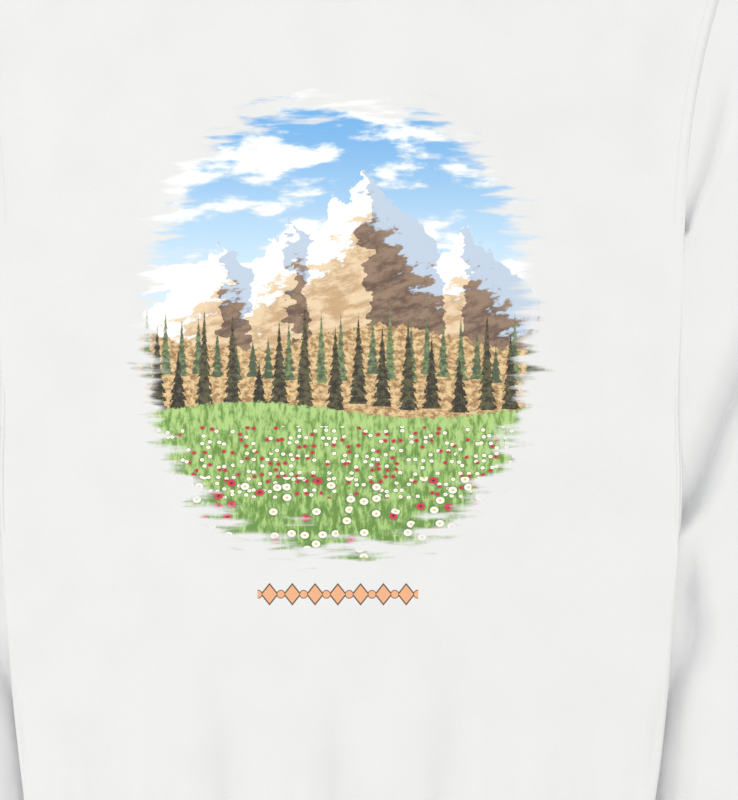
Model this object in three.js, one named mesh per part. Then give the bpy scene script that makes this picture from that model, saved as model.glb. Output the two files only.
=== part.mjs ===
// A plain crew-neck sweatshirt of white fleece. It lies on its back on the floor, front up, softly
// filled with air, and both long sleeves are laid down beside the body.
// Millimetres. +X points to the wearer's left sleeve, +Y from the hem to the neck, +Z up off the floor.
// Lengths along Y are measured from the level of the armpits, and the whole is centred at the end.

import * as THREE from 'three';
import { LoftGeometry } from 'three/addons/geometries/LoftGeometry.js';
import { mergeVertices } from 'three/addons/utils/BufferGeometryUtils.js';

const { clamp, lerp, smoothstep } = THREE.MathUtils;

// Cloth
const FLEECE = 2.8;
const RIB = 4.6;
const SEAM_GAP = 0.3;
const WHITE = '#efefec';
const FLEECE_ROUGHNESS = 0.95;
const RIB_ROUGHNESS = 0.9;

// Body
const CHEST_HALF = 258;
const HEM_SEAM = -440;
const HEM_END = -505;
const SHOULDER_POINT = new THREE.Vector2(292, 198);
const NECK_POINT = new THREE.Vector2(96, 262);
const FRONT_NECK_DROP = 82;
const BACK_NECK_DROP = 20;
const NECKBAND_HEIGHT = 24;
const NECKBAND_LEAN = THREE.MathUtils.degToRad(50);

// Each list gives a size at some levels: [level, size]. Half width of the body at its side seams.
const SIDE_SEAM = [[-440, 233], [-396, 240], [-340, 247], [-200, 254.5], [-120, 253.5], [0, CHEST_HALF]];
// Half width of the hem band, which draws the cloth in.
const HEM_BAND = [[-505, 227], [-470, 229], [-440, 232]];
// Height of the side and shoulder seams over the floor.
const SEAM_HEIGHT = [[-505, 19], [-440, 22], [-300, 28], [-50, 30], [0, 28], [262, 18]];
// Height of the front over the floor beside the rounded edges.
const SIDE_LOFT = [[-505, 35], [-440, 39], [-330, 44], [-60, 48], [0, 47], [198, 41], [262, 38]];
// How much higher the middle of the front stands.
const CROWN = [[-505, 3], [-440, 4], [-250, 8], [0, 9], [150, 5], [262, 2]];

// How far each rounded edge reaches in from its fold, over and under the seam. The top rises in a tight
// round for a share of its height, and then gently over the whole reach.
const SIDE_ROLL = { over: 90, under: 60, tight: 8, share: 0.45 };
const SHOULDER_ROLL = { over: 30, under: 30, tight: 30, share: 1 };
const SLEEVE_INNER_ROLL = { over: 45, under: 25, tight: 45, share: 1 };
const SLEEVE_OUTER_ROLL = { over: 42, under: 38, tight: 42, share: 1 };
const CUFF_ROLL = { over: 26, under: 22, tight: 26, share: 1 };

// The left sleeve's inner and outer edges, from the armhole to the cuff seam. The first pairs fan
// round the armpit, where the sleeve turns down, and the last two are drawn in by the cuff.
const SLEEVE_EDGES = [
  { inner: [258, 0], outer: [292, 198] },
  { inner: [259.5, -6], outer: [338, 177] },
  { inner: [260.5, -13], outer: [376, 138] },
  { inner: [259, -25], outer: [407, 82] },
  { inner: [257, -42], outer: [427, 15] },
  { inner: [255.6, -70], outer: [434, -55] },
  { inner: [254.6, -130], outer: [425, -130] },
  { inner: [255.2, -210], outer: [408, -215] },
  { inner: [250.4, -300], outer: [386, -305] },
  { inner: [247, -395], outer: [362, -395] },
  { inner: [248, -420], outer: [356, -420] },
  { inner: [254, -434], outer: [350, -434] },
];
const CUFF_EDGES = [
  { inner: [256, -434.3], outer: [349, -434.3] },
  { inner: [254, -465], outer: [344, -465] },
  { inner: [252, -496], outer: [341, -496] },
];
// The sleeve's height over the floor, and that of its inner and outer folds, by the share of its length.
const SLEEVE_LOFT = [[0, 46], [0.3, 48], [0.6, 43], [0.85, 38], [1, 31]];
const INNER_FOLD = [[0, 28], [0.18, 27], [0.36, 27], [0.6, 26], [0.7, 22], [0.8, 14], [1, 14]];
const OUTER_FOLD = [[0, 20], [0.3, 21], [1, 14]];
const CUFF_LOFT = 29;
const CUFF_FOLD = 14;
// The shares of the sleeve's length over which the armhole's shape dies out, and the folds set in.
const ARMHOLE_SHARE = 0.22;
const FOLDS_SHARE = 0.05;

// The two deep folds across the left sleeve: at the armpit and at the bend of the elbow. Each is a groove
// that starts at a point of the inner edge and dies out at its reach. before and after are its half
// widths on the upper and on the lower side.
const SLEEVE_FOLDS = [
  { from: [258, 5], angle: 71, depth: 12, reach: 180, before: 12, after: 9 },
  { from: [256, -218], angle: 67, depth: 14, reach: 220, before: 20, after: 8 },
];

// How many pieces each surface is divided into. A body panel has columns beside the neck, and rows below
// and above the armpit, which its row parameter reaches at ARMPIT_ROW. A ring has columns round it and
// rows along it.
const FRONT_GRID = { beside: 9, below: 9, above: 12 };
const BACK_GRID = { beside: 7, below: 6, above: 10 };
const SLEEVE_GRID = { around: 26, along: 26 };
const CUFF_GRID = { around: 24, along: 2 };
const HEM_GRID = { around: 40, along: 3 };
const NECK_GRID = { around: 36, along: 2 };
const ARMPIT_ROW = 0.4;

// A size at one level, on a smooth curve through the [level, size] pairs of a list.
function sizeAt(list, level) {
  const last = list.length - 1;
  if (level <= list[0][0]) return list[0][1];
  if (level >= list[last][0]) return list[last][1];
  const k = list.findIndex(([start]) => start > level);
  const slope = (i) => {
    const [before, after] = [list[Math.max(i - 1, 0)], list[Math.min(i + 1, last)]];
    return (after[1] - before[1]) / (after[0] - before[0]);
  };
  const span = list[k][0] - list[k - 1][0];
  const t = (level - list[k - 1][0]) / span;
  const start = (1 + 2 * t) * (1 - t) ** 2 * list[k - 1][1] + t * (1 - t) ** 2 * span * slope(k - 1);
  const end = t ** 2 * (3 - 2 * t) * list[k][1] + t ** 2 * (t - 1) * span * slope(k);
  return start + end;
}

// From 0 at a folded edge to 1 where the cloth lies flat, on a quarter round.
function rounded(distance, reach) {
  return Math.sqrt(1 - (1 - clamp(distance / reach, 0, 1)) ** 2);
}

// From 0 at a folded edge to 1 at the full height, over or under the fold.
function filled(distance, roll, isTop) {
  if (!isTop) return rounded(distance, roll.under);
  const gentle = Math.sin((Math.PI / 2) * clamp(distance / roll.over, 0, 1));
  return lerp(gentle, rounded(distance, roll.tight), roll.share);
}

// The unit normal of a surface (u, v) => point, from a small step along each of its parameters.
function normalOf(surface, u, v, ring) {
  const step = 1e-4;
  const [before, after] = ring ? [u - step, u + step] : [Math.max(u - step, 0), Math.min(u + step, 1)];
  const across = surface(after, v).sub(surface(before, v));
  const along = surface(u, Math.min(v + step, 1)).sub(surface(u, Math.max(v - step, 0)));
  return across.cross(along).normalize();
}

// The same solid with doubled points joined, empty faces dropped and all faces turned outwards.
function closed(loft) {
  loft.deleteAttribute('normal');
  loft.deleteAttribute('uv');
  const merged = mergeVertices(new THREE.BufferGeometry().copy(loft));
  const place = merged.getAttribute('position');
  const corner = (i) => new THREE.Vector3().fromBufferAttribute(place, i);
  const faces = [];
  let volume = 0;
  for (let i = 0; i < merged.index.count; i += 3) {
    const [a, b, c] = [0, 1, 2].map((k) => merged.index.getX(i + k));
    if (a === b || b === c || c === a) continue;
    faces.push([a, b, c]);
    volume += corner(a).dot(corner(b).cross(corner(c)));
  }
  if (volume < 0) faces.forEach((face) => face.reverse());
  merged.setIndex(faces.flat());
  merged.computeVertexNormals();
  return merged;
}

// Cloth of one thickness inside an outer surface (u, v) => point, at the given columns and rows. The
// inside is where the surface's normal points for turned cloth, and opposite to it otherwise. A ring
// closes on itself in u, and a panel ends in a flat cut edge on both sides.
function cloth(surface, { columns, rows, thickness, ring = false, turned = false }) {
  const inwards = turned ? thickness : -thickness;
  const sections = columns.map((u) => {
    const outside = rows.map((v) => surface(u, v));
    const normals = rows.map((v) => normalOf(surface, u, v, ring));
    const inside = outside.map((point, i) => point.clone().addScaledVector(normals[i], inwards));
    return [...outside, ...inside.reverse()];
  });
  if (ring) return closed(new LoftGeometry([...sections, sections[0]]));
  const edge = (section) => section.map((point, i) => point.clone().lerp(section.at(-1 - i), 0.5));
  return closed(new LoftGeometry([edge(sections[0]), ...sections, edge(sections.at(-1))]));
}

// Whole numbers 0 to count, each divided by count.
const shares = (count) => Array.from({ length: count + 1 }, (_, i) => i / count);

// Body

// Half width of the body at a level: the side seam below the armpit and the armhole seam above it.
function bodyHalf(y) {
  if (y <= 0) return sizeAt(SIDE_SEAM, y);
  const share = Math.min(y / SHOULDER_POINT.y, 1);
  return CHEST_HALF - SEAM_GAP / 2 + (SHOULDER_POINT.x - CHEST_HALF) * share ** 2;
}

// Distance in plan to the fold along the side seam, which ends at the armpit.
function fromSide(x, y) {
  return y <= 0 ? bodyHalf(y) - Math.abs(x) : Math.hypot(CHEST_HALF - Math.abs(x), y);
}

// Distance in plan to the fold along the shoulder seam.
function fromShoulder(x, y) {
  const seam = SHOULDER_POINT.clone().sub(NECK_POINT);
  const offset = new THREE.Vector2(Math.abs(x), y).sub(NECK_POINT);
  const share = clamp(offset.dot(seam) / seam.lengthSq(), 0, 1);
  return offset.addScaledVector(seam, -share).length();
}

// Height of the front's outside over the floor.
function frontHeight(x, y) {
  const seam = sizeAt(SEAM_HEIGHT, y) + SEAM_GAP / 2;
  const crown = sizeAt(CROWN, y) * Math.cos((Math.PI / 2) * Math.min(Math.abs(x) / CHEST_HALF, 1)) ** 2;
  const fill = filled(fromSide(x, y), SIDE_ROLL, true) * filled(fromShoulder(x, y), SHOULDER_ROLL, true);
  return lerp(seam, sizeAt(SIDE_LOFT, y) + crown, fill);
}

// Height of the back's outside: it lies flat on the floor and rolls up to the seams.
function backHeight(x, y) {
  const seam = sizeAt(SEAM_HEIGHT, y) - SEAM_GAP / 2;
  const fill = filled(fromSide(x, y), SIDE_ROLL, false) * filled(fromShoulder(x, y), SHOULDER_ROLL, false);
  return seam * (1 - fill);
}

// Level of a panel's top edge: the neckline between the neck points, and the shoulder seams beside it.
function topEdge(x, neckDrop) {
  const side = Math.abs(x);
  if (side < NECK_POINT.x) return NECK_POINT.y - neckDrop * Math.sqrt(1 - (side / NECK_POINT.x) ** 2);
  const slope = (SHOULDER_POINT.y - NECK_POINT.y) / (SHOULDER_POINT.x - NECK_POINT.x);
  return NECK_POINT.y + slope * (side - NECK_POINT.x);
}

// A body panel's outside. Columns run from the hem to the top edge, closer together at the sides, and
// rows keep level up to the armpit (v = ARMPIT_ROW) and then spread to the top edge.
function panel(height, neckDrop) {
  return (u, v) => {
    const side = -Math.cos(Math.PI * u);
    const above = (1 - Math.cos((Math.PI * (v - ARMPIT_ROW)) / (1 - ARMPIT_ROW))) / 2;
    const top = topEdge(side * SHOULDER_POINT.x, neckDrop);
    const y = v <= ARMPIT_ROW ? HEM_SEAM * (1 - v / ARMPIT_ROW) : top * above;
    const x = side * bodyHalf(y);
    return new THREE.Vector3(x, y, height(x, y));
  };
}

// The column of a panel that ends at a place across its top edge.
const columnAt = (x) => Math.acos(-x / SHOULDER_POINT.x) / Math.PI;

// Columns that end at the same points of the neckline as those of the neckband, and a seam's gap beside
// each neck point. Rows have one at the armpit.
function panelColumns({ beside }) {
  const left = shares(beside).map((share) => share * columnAt(-NECK_POINT.x - SEAM_GAP));
  const neck = shares(NECK_GRID.around / 2)
    .map((share) => columnAt(-NECK_POINT.x * Math.cos(Math.PI * share)));
  const right = left.map((u) => 1 - u).reverse();
  return [...left, ...neck.slice(1, -1), ...right];
}
function panelRows({ below, above }) {
  const lower = shares(below).map((share) => share * ARMPIT_ROW);
  return [...lower, ...shares(above).slice(1).map((share) => lerp(ARMPIT_ROW, 1, share))];
}

// Sleeves and bands

// The point at a share of the way along one edge of a list of edge pairs.
function edgeCurve(pairs, edge) {
  const curve = new THREE.SplineCurve(pairs.map((pair) => new THREE.Vector2(...pair[edge])));
  return (share) => curve.getPoint(share);
}

// The outside of a flattened tube between two edges in plan. u runs over the top from the inner edge to
// the outer one and back underneath, and v runs along. shape(x, y, s, v) gives the height of the folded
// edges, of the top, and the reach of the four rounded edges.
function flatTube(inner, outer, shape, bow = () => 0) {
  return (u, v) => {
    const turn = 2 * Math.PI * u;
    const share = (1 - Math.cos(turn)) / 2;
    const isTop = Math.sin(turn) >= 0;
    const width = inner(v).distanceTo(outer(v));
    const plan = inner(v).lerp(outer(v), share);
    plan.x -= bow(v) * share * (1 - share);
    const { fold, loft, innerRoll, outerRoll, dent = 0 } = shape(plan.x, plan.y, share, v);
    const fill = filled(share * width, innerRoll, isTop) * filled((1 - share) * width, outerRoll, isTop);
    const z = isTop ? lerp(fold, loft - dent, fill) : fold * (1 - fill);
    return new THREE.Vector3(plan.x, plan.y, z);
  };
}

// How deep the sleeve's folds dent its top at a place.
function sleeveDent(x, y) {
  return SLEEVE_FOLDS.reduce((sum, { from, angle, depth, reach, before, after }) => {
    const line = new THREE.Vector2(1, 0).rotateAround(new THREE.Vector2(), THREE.MathUtils.degToRad(angle));
    const offset = new THREE.Vector2(x - from[0], y - from[1]);
    const beside = offset.cross(line);
    const strength = 1 - smoothstep(offset.dot(line), 0, reach);
    const width = beside < 0 ? before : after;
    return sum + depth * strength * Math.exp(-((beside / width) ** 2));
  }, 0);
}

// Reach of a rounded edge on its way from the armhole's to the sleeve's own.
function blendRoll(start, end, share) {
  const names = Object.keys(start);
  return Object.fromEntries(names.map((name) => [name, lerp(start[name], end[name], share)]));
}

const sleeveSurface = flatTube(
  edgeCurve(SLEEVE_EDGES, 'inner'),
  edgeCurve(SLEEVE_EDGES, 'outer'),
  (x, y, s, v) => {
    const own = smoothstep(v, 0, ARMHOLE_SHARE);
    const fold = lerp(sizeAt(INNER_FOLD, v), sizeAt(OUTER_FOLD, v), s);
    return {
      fold: lerp(sizeAt(SEAM_HEIGHT, y), fold, own),
      loft: lerp(sizeAt(SIDE_LOFT, y), sizeAt(SLEEVE_LOFT, v), own),
      innerRoll: blendRoll(SIDE_ROLL, SLEEVE_INNER_ROLL, own),
      outerRoll: blendRoll(SHOULDER_ROLL, SLEEVE_OUTER_ROLL, own),
      dent: sleeveDent(x, y) * smoothstep(v, 0, FOLDS_SHARE),
    };
  },
  (v) => (SHOULDER_POINT.x - CHEST_HALF) * (1 - smoothstep(v, 0, ARMHOLE_SHARE)),
);

// The sleeve starts a seam's gap outside the armhole edge of the body.
const sleeve = (u, v) => sleeveSurface(u, v).add(new THREE.Vector3(SEAM_GAP / 2, 0, 0));

const cuff = flatTube(edgeCurve(CUFF_EDGES, 'inner'), edgeCurve(CUFF_EDGES, 'outer'), () => ({
  fold: CUFF_FOLD,
  loft: CUFF_LOFT,
  innerRoll: CUFF_ROLL,
  outerRoll: CUFF_ROLL,
}));

// The hem band, a flat tube across the whole width that carries the body's section on to the end.
const hemLevel = (v) => lerp(HEM_SEAM - SEAM_GAP, HEM_END, v);
const hemSide = (side) => (v) => new THREE.Vector2(side * sizeAt(HEM_BAND, hemLevel(v)), hemLevel(v));
const hemBand = flatTube(hemSide(-1), hemSide(1), (x, y) => ({
  fold: sizeAt(SEAM_HEIGHT, y),
  loft: sizeAt(SIDE_LOFT, y) + sizeAt(CROWN, y) * Math.cos((Math.PI / 2) * (x / CHEST_HALF)) ** 2,
  innerRoll: SIDE_ROLL,
  outerRoll: SIDE_ROLL,
}));

// The neckband follows both necklines. Beside the neck it leans in, by more the nearer to the shoulders.
function neckband(u, v) {
  const turn = 2 * Math.PI * u;
  const isFront = Math.cos(turn) >= 0;
  const x = NECK_POINT.x * Math.sin(turn);
  const y = NECK_POINT.y - (isFront ? FRONT_NECK_DROP : BACK_NECK_DROP) * Math.abs(Math.cos(turn));
  const lean = NECKBAND_LEAN * Math.sin(turn) * Math.abs(Math.sin(turn));
  const rise = SEAM_GAP + v * (NECKBAND_HEIGHT - SEAM_GAP);
  const z = isFront ? frontHeight(x, y) : backHeight(x, y);
  return new THREE.Vector3(x - rise * Math.sin(lean), y + rise * Math.cos(lean), z);
}

// Assembly

const fleece = () => new THREE.MeshStandardMaterial({ color: WHITE, roughness: FLEECE_ROUGHNESS });
const rib = () => new THREE.MeshStandardMaterial({ color: WHITE, roughness: RIB_ROUGHNESS });

// A named mesh.
function piece(name, geometry, material) {
  const mesh = new THREE.Mesh(geometry, material);
  mesh.name = name;
  return mesh;
}

// A ring of cloth, with its columns and rows spread evenly.
function ringOfCloth(surface, { around, along }, thickness, turned = false) {
  return cloth(surface, {
    columns: shares(around).slice(0, -1),
    rows: shares(along),
    thickness,
    ring: true,
    turned,
  });
}

// The same surface on the other side of the body.
const mirrored = (surface) => (u, v) => surface(u, v).multiply(new THREE.Vector3(-1, 1, 1));

const front = cloth(panel(frontHeight, FRONT_NECK_DROP), {
  columns: panelColumns(FRONT_GRID),
  rows: panelRows(FRONT_GRID),
  thickness: FLEECE,
});
const back = cloth(panel(backHeight, BACK_NECK_DROP), {
  columns: panelColumns(BACK_GRID),
  rows: panelRows(BACK_GRID),
  thickness: FLEECE,
  turned: true,
});

const garment = new THREE.Group();
garment.add(
  piece('body_front', front, fleece()),
  piece('body_back', back, fleece()),
  piece('hem_band', ringOfCloth(hemBand, HEM_GRID, RIB, true), rib()),
  piece('neckband', ringOfCloth(neckband, NECK_GRID, RIB), rib()),
);
for (const isLeft of [true, false]) {
  const name = isLeft ? 'left' : 'right';
  const [arm, wrist] = isLeft ? [sleeve, cuff] : [mirrored(sleeve), mirrored(cuff)];
  garment.add(
    piece(`sleeve_${name}`, ringOfCloth(arm, SLEEVE_GRID, FLEECE, isLeft), fleece()),
    piece(`cuff_${name}`, ringOfCloth(wrist, CUFF_GRID, RIB, isLeft), rib()),
  );
}

// The origin is on the floor, under the middle of the whole garment.
const extent = new THREE.Box3().setFromObject(garment);
garment.position.y = -(extent.min.y + extent.max.y) / 2;
const sweatshirt = new THREE.Group();
sweatshirt.add(garment);

export default sweatshirt;
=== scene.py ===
"""A crew-neck sweatshirt of white fleece with a printed landscape on the chest.

It lies on its back on the floor, front up, with both long sleeves laid down beside the body. Shapes are
worked out in millimetres, with Y measured from the level of the armpits, and go into the scene in metres.
"""
import logging
import math
from dataclasses import dataclass
from enum import Enum
from typing import Callable, Sequence, Union

import bpy
import numpy as np
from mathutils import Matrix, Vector


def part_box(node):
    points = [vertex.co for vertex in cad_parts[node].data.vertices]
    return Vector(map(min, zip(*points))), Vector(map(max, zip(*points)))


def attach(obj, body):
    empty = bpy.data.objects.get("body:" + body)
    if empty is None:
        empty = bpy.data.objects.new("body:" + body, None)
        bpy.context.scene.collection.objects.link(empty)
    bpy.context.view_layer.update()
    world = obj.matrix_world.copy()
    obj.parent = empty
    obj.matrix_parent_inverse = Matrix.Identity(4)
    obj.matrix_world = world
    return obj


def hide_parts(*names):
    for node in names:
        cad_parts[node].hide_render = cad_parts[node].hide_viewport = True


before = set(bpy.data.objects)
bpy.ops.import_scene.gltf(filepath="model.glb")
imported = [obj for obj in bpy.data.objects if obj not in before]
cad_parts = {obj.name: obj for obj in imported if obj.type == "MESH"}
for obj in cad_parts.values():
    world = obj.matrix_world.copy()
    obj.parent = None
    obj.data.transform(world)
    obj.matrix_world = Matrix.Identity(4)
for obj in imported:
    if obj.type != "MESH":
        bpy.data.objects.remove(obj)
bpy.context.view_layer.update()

MM = 0.001
HEM_END = -505.0
# Where the level of the armpits lies in the scene, in metres.
ARMPIT_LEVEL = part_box("hem_band")[0][1] - HEM_END * MM
SEAM_GAP = 0.01
FLEECE_THICKNESS = 2.8
RIB_THICKNESS = 4.6
# Distance of the two rows of stitches from a topstitched seam, and depth and half width of their grooves.
STITCH_ROWS = (2.2, 8.0)
STITCH_GROOVE = (0.14, 0.9)
# Height of a seam's folded allowance, and between which distances from the seam it rises and falls.
ALLOWANCE_HEIGHT = 0.4
ALLOWANCE_SPAN = (0.0, 2.4, 8.4, 11.5)
# Distance between a grid's lines beside the edges of the cloth.
FINEST = 0.7
# Distance from the edges within which folds die out.
CALM_EDGE = 14.0
PLEAT_HEIGHT = 0.9
# Name of the UV map that holds places on the cut cloth.
CUT_MAP = "cut"

Array = np.ndarray
Pairs = Sequence[Sequence[float]]
Colour = tuple[float, float, float]
Number = Union["Signal", float]

log = logging.getLogger("sweatshirt")


class Face(Enum):
    """The two panels of the body."""

    FRONT = "front"
    BACK = "back"


class Hand(Enum):
    """The wearer's side that a sleeve or cuff is on, with its sign along X."""

    LEFT = 1.0
    RIGHT = -1.0


class Edge(Enum):
    """The four edges of a grid of cloth."""

    FIRST_COLUMN = 0
    LAST_COLUMN = 1
    FIRST_ROW = 2
    LAST_ROW = 3


# Curves and profiles


def lerp(start: Array, end: Array, share: Array) -> Array:
    """The value a share of the way from start to end."""
    return start + (end - start) * share


def smoothstep(value: Array, low: float, high: float) -> Array:
    """From 0 at low to 1 at high, level at both."""
    share = np.clip((value - low) / (high - low), 0.0, 1.0)
    return share * share * (3.0 - 2.0 * share)


def plateau(value: Array, span: Sequence[float]) -> Array:
    """From 0 to 1 between the span's first two values, and back to 0 between its last two."""
    return smoothstep(value, *span[:2]) * (1.0 - smoothstep(value, *span[2:]))


def rounded(distance: Array, reach: Array) -> Array:
    """From 0 at a folded edge to 1 where the cloth lies flat, on a quarter round."""
    return np.sqrt(1.0 - (1.0 - np.clip(distance / reach, 0.0, 1.0)) ** 2)


def filled(distance: Array, roll: Sequence[Array], top: Union[Array, bool]) -> Array:
    """From 0 at a folded edge to 1 at the full height over or under it.

    Under the fold it is a quarter round. On top a share of the height is a tight quarter round, and the
    rest is a quarter sine wave over the whole reach.

    Args:
        distance: Distance from the fold in plan.
        roll: Reach on top, reach underneath, the tight round's reach and its share of the height.
        top: Where the place is on top.

    Returns:
        The share of the height.
    """
    over, under, tight, share = roll
    gentle = np.sin(math.pi / 2 * np.clip(distance / over, 0.0, 1.0))
    return np.where(top, lerp(gentle, rounded(distance, tight), share), rounded(distance, under))


def size_at(pairs: Pairs, level: Array) -> Array:
    """Sizes at some levels, on the smooth curve through [level, size] pairs.

    Each span is a cubic that leaves both its ends with the mean slope towards their neighbours.

    Args:
        pairs: The [level, size] pairs, from the lowest level up.
        level: The levels that the sizes are wanted at.

    Returns:
        The size at each level, held at the ends.
    """
    knots, sizes = np.array(pairs, dtype=float).T
    slopes = np.empty_like(sizes)
    slopes[1:-1] = (sizes[2:] - sizes[:-2]) / (knots[2:] - knots[:-2])
    slopes[0] = (sizes[1] - sizes[0]) / (knots[1] - knots[0])
    slopes[-1] = (sizes[-1] - sizes[-2]) / (knots[-1] - knots[-2])
    level = np.clip(level, knots[0], knots[-1])
    k = np.clip(np.searchsorted(knots, level, side="right"), 1, len(knots) - 1)
    span = knots[k] - knots[k - 1]
    t = (level - knots[k - 1]) / span
    start = (1 + 2 * t) * (1 - t) ** 2 * sizes[k - 1] + t * (1 - t) ** 2 * span * slopes[k - 1]
    return start + t**2 * (3 - 2 * t) * sizes[k] + t**2 * (t - 1) * span * slopes[k]


def spline(corners: Pairs, share: Array) -> Array:
    """Points on the uniform Catmull-Rom curve through some corners.

    Args:
        corners: The points that the curve passes through.
        share: How far along the curve each wanted point is, from 0 to 1.

    Returns:
        The points, with their coordinates in the last axis.
    """
    knots = np.array(corners, dtype=float)
    last = len(knots) - 1
    place = np.clip(share, 0.0, 1.0) * last
    k = np.minimum(np.floor(place).astype(int), last - 1)
    t = (place - k)[..., None]
    before, start = knots[np.maximum(k - 1, 0)], knots[k]
    end, after = knots[k + 1], knots[np.minimum(k + 2, last)]
    leave, arrive = (end - before) / 2, (after - start) / 2
    cubic = (2 * start - 2 * end + leave + arrive) * t**3
    return cubic + (3 * end - 3 * start - 2 * leave - arrive) * t**2 + leave * t + start


def graded(length: float, coarse: float, ends: tuple[bool, bool], reach: float = 9.0) -> Array:
    """Places along a length whose spacing grows from the finest at the chosen ends to coarse elsewhere.

    The number of places grows with distance as the integral of one over the spacing, turned round.

    Args:
        length: The whole length.
        coarse: Spacing away from the ends.
        ends: Whether the first and the last end are chosen.
        reach: Distance over which the spacing grows.

    Returns:
        Places from 0 to the length.
    """
    steps = np.linspace(0.0, length, 2000)
    nearest = np.full_like(steps, np.inf)
    if ends[0]:
        nearest = np.minimum(nearest, steps)
    if ends[1]:
        nearest = np.minimum(nearest, length - steps)
    spacing = coarse + (FINEST - coarse) * np.exp(-nearest / reach)
    count = np.concatenate([[0.0], np.cumsum(np.diff(steps) * 2 / (spacing[1:] + spacing[:-1]))])
    return np.interp(np.linspace(0.0, count[-1], round(count[-1]) + 1), count, steps)


def travelled(points: Array, axis: int = 0) -> Array:
    """Length along a grid's lines from their first point, in the given axis."""
    steps = np.linalg.norm(np.diff(points, axis=axis), axis=-1)
    start = np.zeros_like(np.take(steps, [0], axis=axis))
    return np.concatenate([start, np.cumsum(steps, axis=axis)], axis=axis)


@dataclass(frozen=True)
class Fold:
    """A crease or soft ridge of the cloth along a path in plan.

    Attributes:
        path: Corner points of the path.
        depth: How far the cloth dips there. A negative depth is a ridge.
        before: Half width on the left of the path.
        after: Half width on the right of the path.
        fade_in: Share of the path over which it deepens.
        fade_out: Share of the path from which it dies out.
        sharpness: The power of the profile, 2 for a soft bottom and less for a sharp one.
        widen: How much wider it gets along the path, as a share of its first width.
        core: Reach of the small round at its bottom.
    """

    path: Pairs
    depth: float
    before: float
    after: float
    fade_in: float = 0.0
    fade_out: float = 0.0
    sharpness: float = 2.0
    widen: float = 0.0
    core: float = 0.6

    def place(self, x: Array, y: Array) -> tuple[Array, Array]:
        """Signed distance to the path, positive on its right, and the share of its length."""
        corners = np.array(self.path, dtype=float)
        lengths = np.linalg.norm(np.diff(corners, axis=0), axis=1)
        starts = np.concatenate([[0.0], np.cumsum(lengths)])
        best = np.full(x.shape, np.inf)
        beside, share = np.zeros(x.shape), np.zeros(x.shape)
        for corner, following, length, start in zip(corners, corners[1:], lengths, starts):
            line = (following - corner) / length
            along = np.clip((x - corner[0]) * line[0] + (y - corner[1]) * line[1], 0.0, length)
            off_x, off_y = x - corner[0] - along * line[0], y - corner[1] - along * line[1]
            distance = np.hypot(off_x, off_y)
            nearer = distance < best
            best = np.where(nearer, distance, best)
            side = np.where(off_x * line[1] - off_y * line[0] < 0, -1.0, 1.0)
            beside = np.where(nearer, side * distance, beside)
            share = np.where(nearer, (start + along) / starts[-1], share)
        return beside, share

    def strength(self, share: Array) -> Array:
        """How deep the fold is along its path, from 0 to 1."""
        fade = 1.0 - smoothstep(share, self.fade_out, 1.0)
        return fade * smoothstep(share, 0.0, self.fade_in) if self.fade_in > 0.0 else fade

    def profile(self, ratio: Array) -> Array:
        """How deep it is beside its path: exp(-(distance / half width) ^ power)."""
        return np.exp(-(ratio**self.sharpness))

    def relief(self, x: Array, y: Array) -> Array:
        """Height that the fold adds: the profile over a hyperbola of the distance, round at the bottom."""
        beside, share = self.place(x, y)
        beside = beside / (1.0 + self.widen * share)
        width = np.where(beside < 0, self.before, self.after)
        dip = self.profile((np.hypot(beside, self.core) - self.core) / width)
        return -self.depth * self.strength(share) * dip


@dataclass(frozen=True)
class Crease(Fold):
    """A deep crease with straight walls and rounded lips.

    Attributes:
        lips: How round the lips are, as a share of the half width.
    """

    lips: float = 0.17

    def profile(self, ratio: Array) -> Array:
        """How deep it is beside its path: 1 - distance / half width, levelled off as a softplus curve."""
        return np.logaddexp(0.0, (1.0 - ratio) / self.lips) / np.logaddexp(0.0, 1.0 / self.lips)


@dataclass(frozen=True)
class Undulation:
    """The slight unevenness of cloth that has been handled: a sum of sine waves in seeded directions.

    Attributes:
        height: Root mean square height.
        shortest: Shortest wavelength.
        longest: Longest wavelength.
        seed: Seed of the directions and phases.
        waves: Number of waves.
    """

    height: float
    shortest: float
    longest: float
    seed: int
    waves: int = 14

    def relief(self, x: Array, y: Array) -> Array:
        """Height at some places: the sum of sin(k . place + phase), scaled to the wanted mean height."""
        chance = np.random.default_rng(self.seed)
        wavelength = np.exp(chance.uniform(math.log(self.shortest), math.log(self.longest), self.waves))
        turn, phase = chance.uniform(0, math.tau, (2, self.waves))
        share = wavelength / np.sqrt(np.sum(wavelength**2) / 2)
        rate = math.tau / wavelength
        angle = x[..., None] * (rate * np.cos(turn)) + y[..., None] * (rate * np.sin(turn)) + phase
        return self.height * np.sum(share * np.sin(angle), axis=-1)


def seam_relief(distance: Array, ditch: Array) -> Array:
    """How a topstitched seam shapes the cloth: a ditch, then the allowance with a groove at each row."""
    depth, half_width = STITCH_GROOVE
    allowance = ALLOWANCE_HEIGHT * plateau(distance, ALLOWANCE_SPAN)
    grooves = sum(depth * np.exp(-(((distance - row) / half_width) ** 2)) for row in STITCH_ROWS)
    return allowance - grooves - ditch * np.exp(-(distance**2))


def pleated(wave: Array, distance: Array, reach: float, start: float) -> Array:
    """Height of the pleats beside a rib's seam: the wave, which starts at the seam and dies out."""
    return PLEAT_HEIGHT * wave * np.exp(-distance / reach) * smoothstep(distance, 0.0, start)


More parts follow.
